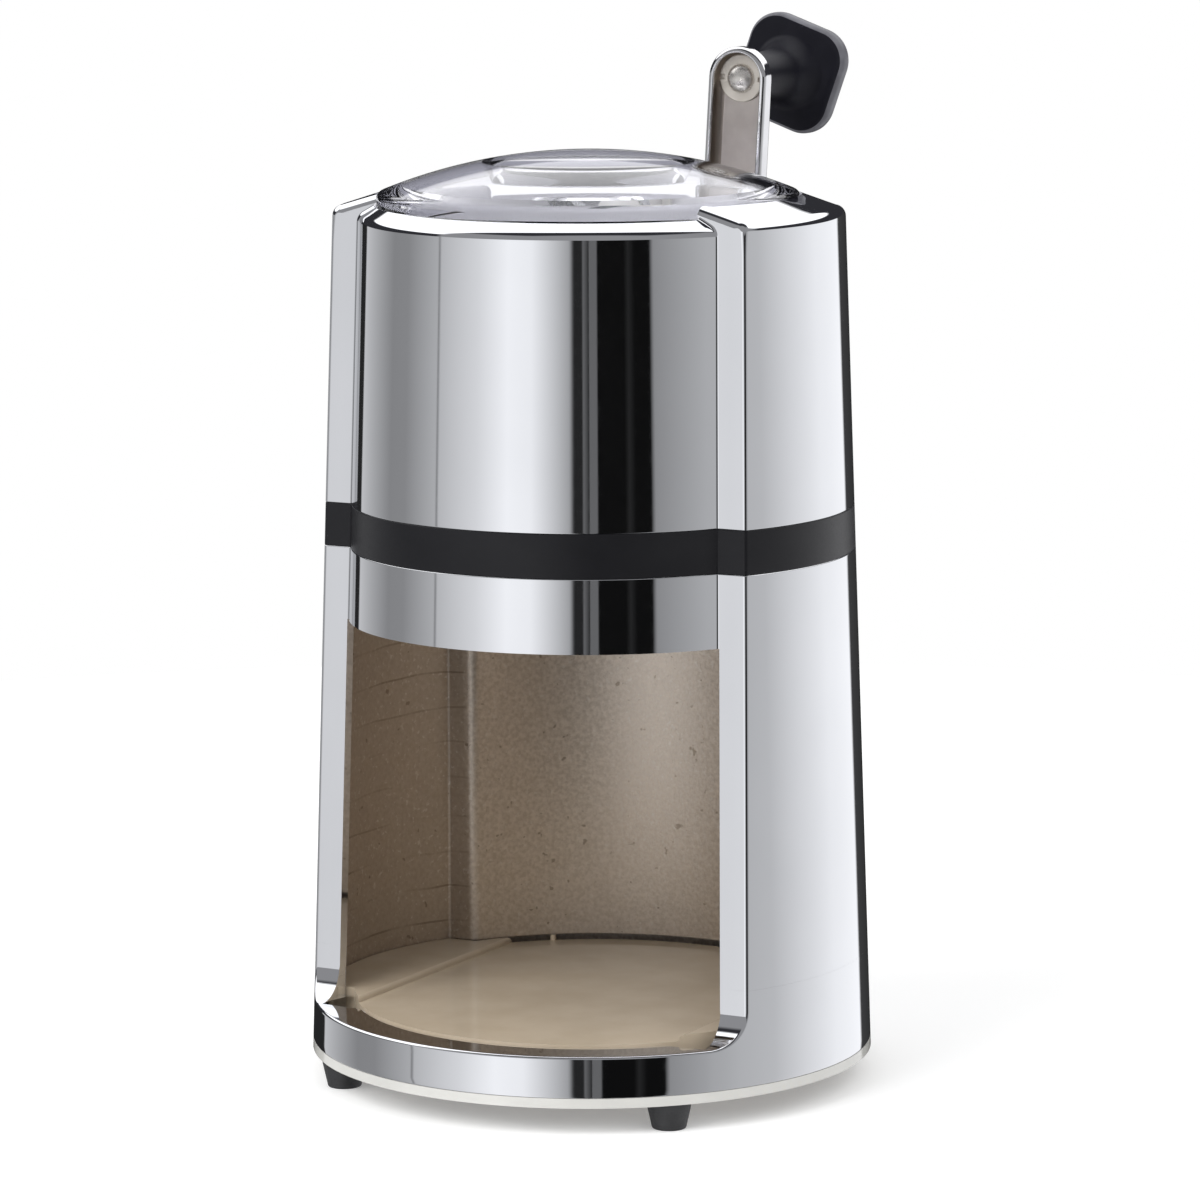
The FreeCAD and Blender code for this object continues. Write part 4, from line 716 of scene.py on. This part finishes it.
# ------------ node graphs
class Graph:
    """A node tree, with short ways to add the nodes that this script uses."""

    def __init__(self, tree):
        self.nodes, self.links = tree.nodes, tree.links

    def feed(self, socket, given):
        """Links a socket to another node's output, or sets it to a number, a vector or a colour."""
        if isinstance(given, bpy.types.NodeSocket):
            self.links.new(given, socket)
        elif socket.type == "RGBA":
            socket.default_value = (*given, 1)
        else:
            socket.default_value = given

    def calculate(self, operation, *inputs, clamp=False):
        node = self.nodes.new("ShaderNodeMath")
        node.operation, node.use_clamp = operation, clamp
        for socket, given in zip(node.inputs, inputs):
            self.feed(socket, given)
        return node.outputs[0]

    def times(self, first, second):
        return self.calculate("MULTIPLY", first, second)

    def map_range(self, value, low, high, to_low=0.0, to_high=1.0):
        """Maps low..high to to_low..to_high, and keeps to those ends beyond it."""
        node = self.nodes.new("ShaderNodeMapRange")
        for name, given in (("Value", value), ("From Min", low), ("From Max", high), ("To Min", to_low),
                            ("To Max", to_high)):
            self.feed(node.inputs[name], given)
        return node.outputs["Result"]

    def mixed(self, factor, first, second):
        node = self.nodes.new("ShaderNodeMix")
        node.data_type = "RGBA"
        self.feed(node.inputs["Factor"], factor)
        # the colour sockets share their names with those of the other data types
        self.feed(node.inputs[6], first)
        self.feed(node.inputs[7], second)
        return node.outputs[2]

    def two_colours(self, noise, low, high):
        node = self.nodes.new("ShaderNodeValToRGB")
        for element, position, colour in zip(node.color_ramp.elements, (0.35, 0.65), (low, high)):
            element.position = position
            element.color = (*colour, 1)
        self.feed(node.inputs["Fac"], noise)
        return node.outputs["Color"]

    def coordinates(self, kind="Object"):
        return self.nodes.new("ShaderNodeTexCoord").outputs[kind]

    def place(self):
        """The X, Y and Z outputs of the place on the object, in metres."""
        node = self.nodes.new("ShaderNodeSeparateXYZ")
        self.feed(node.inputs["Vector"], self.coordinates())
        return node.outputs

    def noise(self, scale, detail, stretch=None):
        """A noise texture in the object's own place, at so many cells a metre."""
        node = self.nodes.new("ShaderNodeTexNoise")
        node.inputs["Scale"].default_value = scale
        node.inputs["Detail"].default_value = detail
        source = self.coordinates()
        if stretch:
            mapping = self.nodes.new("ShaderNodeMapping")
            mapping.inputs["Scale"].default_value = stretch
            self.feed(mapping.inputs["Vector"], source)
            source = mapping.outputs["Vector"]
        self.feed(node.inputs["Vector"], source)
        return node.outputs["Fac"]

    def spread(self, noise, low, high):
        """Maps a noise's middle range to low..high."""
        return self.map_range(noise, 0.3, 0.7, low, high)

    def bump(self, height, shader, strength, distance):
        node = self.nodes.new("ShaderNodeBump")
        node.inputs["Strength"].default_value = strength
        node.inputs["Distance"].default_value = distance
        self.feed(node.inputs["Height"], height)
        self.feed(shader.inputs["Normal"], node.outputs["Normal"])


# ------------ materials
def material(name, **sockets):
    """A new material, its graph, and its shader with these sockets set."""
    made = bpy.data.materials.new(name)
    made.use_nodes = True
    graph, shader = Graph(made.node_tree), made.node_tree.nodes["Principled BSDF"]
    for socket, given in sockets.items():
        graph.feed(shader.inputs[socket.replace("_", " ")], given)
    return made, graph, shader


def finish(name, low, high, rough, metallic=0.0, *, scale, grain, strength, depth=0.00002, stretch=None,
           **sockets):
    """A material whose colour varies from low to high over broad cells, and its surface over fine grain.

    scale and grain are cells a metre. strength and depth are the grain's relief.
    """
    made, graph, shader = material(name, Metallic=metallic, **sockets)
    fine = graph.noise(grain, 2.0, stretch)
    graph.feed(shader.inputs["Base Color"], graph.two_colours(graph.noise(scale, 4.0), low, high))
    graph.feed(shader.inputs["Roughness"], graph.spread(fine, *rough))
    graph.bump(fine, shader, strength, depth)
    return made


def cast_wall():
    """The bay's inside: thin plating over rough casting, flecked, with turning marks in the wings, and
    painted shade that darkens the wings' walls.
    """
    ring_spacing, ring_share, ring_wander = 0.009, 0.055, 0.004
    wing_starts = (0.0495, 0.051)
    brown = (0.30, 0.23, 0.16)
    made, graph, shader = material("cast_wall", Metallic=0.95)
    speckle, flecks = graph.noise(1000.0, 8.0), graph.noise(900.0, 3.0)
    pits, broad, wander = graph.noise(420.0, 2.0), graph.noise(45.0, 3.0), graph.noise(30.0, 2.0)
    place = graph.place()
    # thin rings, which wander and fade, on the wings' walls only
    height = graph.calculate("MULTIPLY_ADD", wander, ring_wander, place["Z"])
    within = graph.calculate("FRACT", graph.times(height, 1 / ring_spacing))
    in_wing = graph.map_range(graph.calculate("ABSOLUTE", place["X"]), *wing_starts)
    rings = graph.times(graph.calculate("LESS_THAN", within, ring_share), in_wing)
    marks = graph.times(rings, graph.map_range(broad, 0.42, 0.62))
    colour = graph.two_colours(speckle, (0.73, 0.65, 0.56), (0.92, 0.84, 0.75))
    # the first tint is painted shade that darkens the wings' walls; the flecks, pits and turning marks after
    # it are the wall's own
    for where, share, tint in (
        (in_wing, 0.5, (0.50, 0.42, 0.345)),
        (graph.map_range(flecks, 0.60, 0.70), 0.5, (1.0, 0.95, 0.88)),
        (graph.map_range(pits, 0.70, 0.74), 0.6, brown),
        (marks, 0.55, brown),
    ):
        colour = graph.mixed(graph.times(where, share), colour, tint)
    graph.feed(shader.inputs["Base Color"], colour)
    graph.feed(shader.inputs["Roughness"], graph.spread(speckle, 0.40, 0.54))
    relief = graph.calculate("SUBTRACT", speckle, graph.times(marks, 0.5), clamp=True)
    graph.bump(relief, shader, 0.45, 0.0001)
    return made


def cream_plate():
    """Glossy cream plastic, paler on the plate's rim than on the bay's floor."""
    rim_top, floor_low = 0.010, 0.016
    made, graph, shader = material("cream_plastic", Specular_IOR_Level=0.8)
    broad, fine = graph.noise(60.0, 4.0), graph.noise(2000.0, 2.0)
    rim = graph.two_colours(broad, (0.64, 0.635, 0.605), (0.70, 0.695, 0.665))
    floor = graph.two_colours(broad, (0.59, 0.49, 0.365), (0.65, 0.545, 0.415))
    inside = graph.map_range(graph.place()["Z"], rim_top, floor_low)
    graph.feed(shader.inputs["Base Color"], graph.mixed(inside, rim, floor))
    graph.feed(shader.inputs["Roughness"], graph.spread(fine, 0.04, 0.08))
    graph.bump(fine, shader, 0.03, 0.00001)
    return made


chrome = finish("chrome_plate", (0.84, 0.85, 0.87), (0.87, 0.88, 0.90), (0.02, 0.05), 1.0,
                scale=25.0, grain=400.0, strength=0.02, depth=0.00001)
chrome_inside = cast_wall()
seat_satin = finish("seat_satin", (0.84, 0.84, 0.88), (0.90, 0.90, 0.94), (0.40, 0.55), 0.3,
                    scale=80.0, grain=2500.0, strength=0.10)
satin_black = finish("satin_black_plastic", (0.006, 0.006, 0.008), (0.010, 0.010, 0.012), (0.30, 0.42),
                     scale=40.0, grain=3000.0, strength=0.12, Specular_IOR_Level=0.35)
bright_trim = finish("bright_trim", (0.78, 0.78, 0.79), (0.84, 0.84, 0.85), (0.05, 0.12), 1.0,
                     scale=150.0, grain=1500.0, strength=0.05, depth=0.00001)
arm_satin = finish("arm_satin_nickel", (0.58, 0.525, 0.49), (0.66, 0.605, 0.565), (0.28, 0.36), 1.0,
                   scale=160.0, grain=260.0, strength=0.02, depth=0.00001)
# painted shade: a darker copy of the arm's nickel, for the channel's inner fillet and flange walls
arm_painted_shade = finish("arm_nickel_painted_shade", (0.34, 0.29, 0.25), (0.42, 0.365, 0.32), (0.30, 0.42), 1.0,
                  scale=120.0, grain=300.0, strength=0.03, depth=0.00001)
rivet_steel = finish("rivet_satin", (0.78, 0.75, 0.71), (0.86, 0.83, 0.79), (0.24, 0.32), 0.9,
                     scale=300.0, grain=600.0, strength=0.02, depth=0.00001)
washer_steel = finish("washer_satin", (0.64, 0.595, 0.535), (0.72, 0.675, 0.615), (0.38, 0.50), 0.45,
                      scale=300.0, grain=2000.0, strength=0.10, depth=0.00001)
clear = finish("clear_plastic", (0.965, 0.965, 1.0), (0.98, 0.98, 1.0), (0.0, 0.02),
               scale=40.0, grain=500.0, strength=0.02, depth=0.00001, Transmission_Weight=1.0, IOR=1.28)
cream = cream_plate()
white_plastic = finish("white_plastic", (0.88, 0.88, 0.90), (0.92, 0.92, 0.94), (0.25, 0.35),
                       scale=60.0, grain=2500.0, strength=0.06)
knob_black = finish("knob_black_plastic", (0.006, 0.006, 0.010), (0.010, 0.010, 0.015), (0.36, 0.44),
                    scale=90.0, grain=2500.0, strength=0.03, Specular_IOR_Level=0.2)
# painted sheen: a paler copy of the knob's plastic, for the plate's edge
knob_painted_sheen = finish("knob_edge_painted_sheen", (0.10, 0.10, 0.115), (0.15, 0.15, 0.17), (0.36, 0.48),
                   scale=250.0, grain=2500.0, strength=0.05)
foot_rubber = finish("foot_rubber", (0.030, 0.030, 0.032), (0.045, 0.045, 0.047), (0.5, 0.7),
                     scale=200.0, grain=3500.0, strength=0.25)
blade_steel = finish("ground_steel", (0.55, 0.56, 0.57), (0.64, 0.65, 0.66), (0.18, 0.34), 1.0,
                     scale=200.0, grain=1500.0, strength=0.15, stretch=(1.0, 6.0, 1.0))
screw_steel = finish("zinc_steel", (0.52, 0.52, 0.52), (0.62, 0.62, 0.60), (0.25, 0.40), 1.0,
                     scale=400.0, grain=3000.0, strength=0.12)
acetal = finish("acetal", (0.76, 0.75, 0.71), (0.82, 0.81, 0.77), (0.35, 0.5),
                scale=100.0, grain=2500.0, strength=0.08)

lower_housing(chrome, chrome_inside)
joint_band(satin_black)
upper_housing(chrome, chrome_inside, seat_satin)
lid(clear)
crank_arm(bright_trim, arm_satin, arm_painted_shade)
knob_rivet(rivet_steel)
knob_washer(washer_steel)
crank_washer(bright_trim)
crank_nut(bright_trim)
escutcheon(chrome)
knob(knob_black, knob_painted_sheen)
feet(foot_rubber)


def smooth_modifier():
    """Geometry nodes that shade a mesh smooth but for its sharp edges."""
    tree = bpy.data.node_groups.new("shade_by_angle", "GeometryNodeTree")
    tree.interface.new_socket("Geometry", in_out="INPUT", socket_type="NodeSocketGeometry")
    tree.interface.new_socket("Geometry", in_out="OUTPUT", socket_type="NodeSocketGeometry")
    nodes, links = tree.nodes, tree.links
    given, made = nodes.new("NodeGroupInput"), nodes.new("NodeGroupOutput")
    merge = nodes.new("GeometryNodeMergeByDistance")
    merge.inputs["Distance"].default_value = 1e-6
    faces, edges = nodes.new("GeometryNodeSetShadeSmooth"), nodes.new("GeometryNodeSetShadeSmooth")
    edges.domain = "EDGE"
    angle = nodes.new("GeometryNodeInputMeshEdgeAngle")
    compare = nodes.new("FunctionNodeCompare")
    compare.operation = "LESS_THAN"
    compare.inputs[1].default_value = math.radians(30)
    links.new(angle.outputs["Unsigned Angle"], compare.inputs[0])
    links.new(given.outputs[0], merge.inputs["Geometry"])
    links.new(merge.outputs["Geometry"], faces.inputs["Geometry"])
    links.new(faces.outputs["Geometry"], edges.inputs["Geometry"])
    links.new(compare.outputs["Result"], edges.inputs["Shade Smooth"])
    links.new(edges.outputs["Geometry"], made.inputs[0])
    return tree


SLOT_MATERIALS = {
    "chrome_body": chrome, "chrome_trim": bright_trim, "arm_nickel": arm_satin,
    "black_trim": satin_black, "cream_plastic": cream, "white_plastic": white_plastic,
    "clear_plastic": clear, "knob_plastic": knob_black, "foot_rubber": foot_rubber,
    "blade_steel": blade_steel, "screw_steel": screw_steel, "bush_plastic": acetal,
}
shading = smooth_modifier()
for row in frame["record"]["subparts"]:
    cad_node = frame["nodes"][row["node"]]
    for material_slot in cad_node.material_slots:
        material_slot.material = SLOT_MATERIALS[row["material_slot"]]
    if not cad_node.hide_render:
        cad_node.modifiers.new("shade_by_angle", "NODES").node_group = shading


# ------------ light
AZIMUTH = math.radians(28.3)
TO_CAMERA = (math.sin(AZIMUTH), -math.cos(AZIMUTH), 0.0)
TO_RIGHT = (math.cos(AZIMUTH), math.sin(AZIMUTH), 0.0)
UP = (0.0, 0.0, 1.0)
WHITE = (1.0, 1.0, 1.0)
# The studio's panels by azimuth from the camera's side, positive to the right: from, to, and the grey
# level at each end. The room between them is dark.
ROOM = 0.02
PANELS = (
    (-145, -144, ROOM, 0.58), (-144, -112, 0.58, 0.26), (-112, -100, 0.26, 0.27),
    (-100, -79.5, 0.27, 0.46), (-79.5, -78.5, 0.46, 0.18), (-78.5, -77.5, 0.18, 0.52),
    (-77.5, -56, 0.52, 0.74), (-56, -40, 0.74, 1.0), (-40, -28, 1.0, 0.95), (-28, -9.5, 0.95, 0.38),
    (-9.5, -7.5, 0.38, ROOM), (-3.4, -2.8, ROOM, 0.14), (-2.8, 0, 0.14, ROOM), (0, 3.6, 0.14, 0.14),
    (3.6, 4.2, 0.14, 0.005), (17, 19, 0.005, ROOM), (19, 22, ROOM, 0.005), (29.5, 31.5, 0.005, 0.28),
    (31.5, 62, 0.28, 0.48), (62, 80, 0.48, 0.54), (80, 98, 0.54, 0.74), (98, 120, 0.74, 0.95),
    (120, 146, 0.95, 1.05), (146, 148.5, 1.05, 0.05),
)
PANEL_TINT = (0.99, 0.995, 1.02)


def panel_ramp(graph, turn, start):
    """The panels' light over the half turn from this azimuth, in degrees; turn is in radians."""
    end = start + 180
    stops = {start: ROOM}
    for low, high, low_level, high_level in PANELS:
        if start <= low < end:
            stops[low] = low_level
            stops[high] = high_level
    stops[end] = ROOM
    ramp = graph.nodes.new("ShaderNodeValToRGB")
    elements = ramp.color_ramp.elements
    for degrees, level in stops.items():
        if degrees == start:
            element = elements[0]
        elif degrees == end:
            element = elements[-1]
        else:
            element = elements.new((degrees - start) / 180)
        element.color = (*(level * share for share in PANEL_TINT), 1)
    graph.feed(ramp.inputs["Fac"], graph.calculate("MULTIPLY_ADD", turn, 1 / math.pi, -start / 180))
    return ramp.outputs["Color"]


def studio_world():
    """What chrome and clear plastic reflect, plain light for all else, and a white ground."""
    world = bpy.data.worlds.new("studio")
    bpy.context.scene.world = world
    world.use_nodes = True
    world.node_tree.nodes.clear()
    graph = Graph(world.node_tree)
    direction = graph.coordinates("Generated")

    def dot(vector):
        node = graph.nodes.new("ShaderNodeVectorMath")
        node.operation = "DOT_PRODUCT"
        graph.feed(node.inputs[0], direction)
        graph.feed(node.inputs[1], vector)
        return node.outputs["Value"]

    path = graph.nodes.new("ShaderNodeLightPath").outputs
    toward, height = dot(TO_CAMERA), dot(UP)
    turn = graph.calculate("ARCTAN2", dot(TO_RIGHT), toward)
    bands = graph.mixed(graph.calculate("GREATER_THAN", turn, 0.0), panel_ramp(graph, turn, -180),
                        panel_ramp(graph, turn, 0))
    # above the panels the room is grey on the camera's side, but for a dark patch high up beyond it,
    # and dark elsewhere, and a wide soft box hangs over and behind the object
    dark = graph.mixed(path["Is Transmission Ray"], (0.03, 0.03, 0.035), (0.50, 0.50, 0.57))
    lit = graph.calculate("MAXIMUM", graph.map_range(toward, 0.60, 0.68), graph.map_range(height, 0.70, 0.60))
    lit = graph.times(lit, graph.map_range(toward, 0.15, 0.20))
    room = graph.mixed(lit, dark, (0.28, 0.28, 0.29))
    framed = graph.mixed(graph.map_range(height, 0.045, 0.055), bands, room)
    behind = graph.map_range(graph.times(toward, -1.0), -0.20, -0.12)
    box = graph.times(graph.map_range(height, 0.325, 0.35), behind)
    shown = graph.mixed(box, framed, (1.4, 1.4, 1.42))
    # plain light for what isn't seen in a gloss, and a white ground for the camera and clear plastic
    shiny = graph.calculate("MAXIMUM", path["Is Glossy Ray"], path["Is Transmission Ray"])
    light = graph.mixed(shiny, (0.80, 0.80, 0.80), shown)
    below = graph.calculate("LESS_THAN", height, 0.04)
    through = graph.times(path["Is Transmission Ray"], below)
    ground = graph.calculate("MAXIMUM", path["Is Camera Ray"], through)
    background = graph.nodes.new("ShaderNodeBackground")
    graph.feed(background.inputs["Color"], graph.mixed(ground, light, WHITE))
    output = graph.nodes.new("ShaderNodeOutputWorld")
    graph.feed(output.inputs["Surface"], background.outputs[0])


def studio_floor():
    """A pale disc that keeps the object's shadow and shows white to the camera."""
    mesh = bpy.data.meshes.new("floor")
    work = bmesh.new()
    bmesh.ops.create_circle(work, cap_ends=True, segments=96, radius=0.6)
    work.to_mesh(mesh)
    work.free()
    floor = add_object("floor", mesh)
    made, graph, shader = material("floor_white", Base_Color=(0.86, 0.86, 0.86), Roughness=0.9,
                                   Specular_IOR_Level=0.0)
    path = graph.nodes.new("ShaderNodeLightPath").outputs
    glow = graph.nodes.new("ShaderNodeEmission")
    graph.feed(glow.inputs["Strength"], graph.times(path["Is Camera Ray"], 0.25))
    add = graph.nodes.new("ShaderNodeAddShader")
    graph.feed(add.inputs[0], shader.outputs[0])
    graph.feed(add.inputs[1], glow.outputs[0])
    graph.feed(graph.nodes["Material Output"].inputs["Surface"], add.outputs[0])
    mesh.materials.append(made)
    floor.visible_glossy = False


def lamp(name, azimuth, elevation, distance, size, power):
    """A square soft lamp that faces the object; azimuth is from the camera's side, positive to the right."""
    light = bpy.data.lights.new(name, "AREA")
    light.shape = "SQUARE"
    light.size = size
    light.energy = power
    made = add_object(name, light)
    turn, rise = math.radians(azimuth), math.radians(elevation)
    ahead = Vector(TO_CAMERA) * math.cos(turn) + Vector(TO_RIGHT) * math.sin(turn)
    middle = Vector((0, 0, 0.12))
    made.location = middle + (ahead * math.cos(rise) + Vector(UP) * math.sin(rise)) * distance
    made.rotation_mode = "QUATERNION"
    made.rotation_quaternion = (middle - made.location).to_track_quat("-Z", "Y")
    made.visible_glossy = False
    made.visible_camera = False


# ------------ camera
def camera():
    photo_width, focal_length, shift = 1200, 5307.8, 9.86    # in the photo's pixels
    pitch, roll = 0.15186, 0.00431                           # in radians
    distance, height = 1.249796, 0.305264                    # in metres, from the object's axis and origin
    data = bpy.data.cameras.new("camera")
    made = add_object("camera", data)
    bpy.context.scene.camera = made
    data.sensor_width = 36.0
    data.lens = focal_length / photo_width * data.sensor_width
    data.shift_x = shift / photo_width
    data.clip_start, data.clip_end = 0.05, 20.0
    right = Vector(TO_RIGHT)
    ahead = -Vector(TO_CAMERA) * math.cos(pitch) - Vector(UP) * math.sin(pitch)
    up = right.cross(ahead)
    image_right = right * math.cos(roll) - up * math.sin(roll)
    image_up = right * math.sin(roll) + up * math.cos(roll)
    made.matrix_world = Matrix((image_right, image_up, -ahead)).transposed().to_4x4()
    made.location = Vector(TO_CAMERA) * distance + Vector(UP) * height


studio_world()
studio_floor()
lamp("key_lamp", -50, 40, 1.8, 1.2, 18)
lamp("fill_lamp", 60, 45, 1.6, 1.0, 4)
camera()
bpy.context.scene.view_settings.view_transform = "Standard"
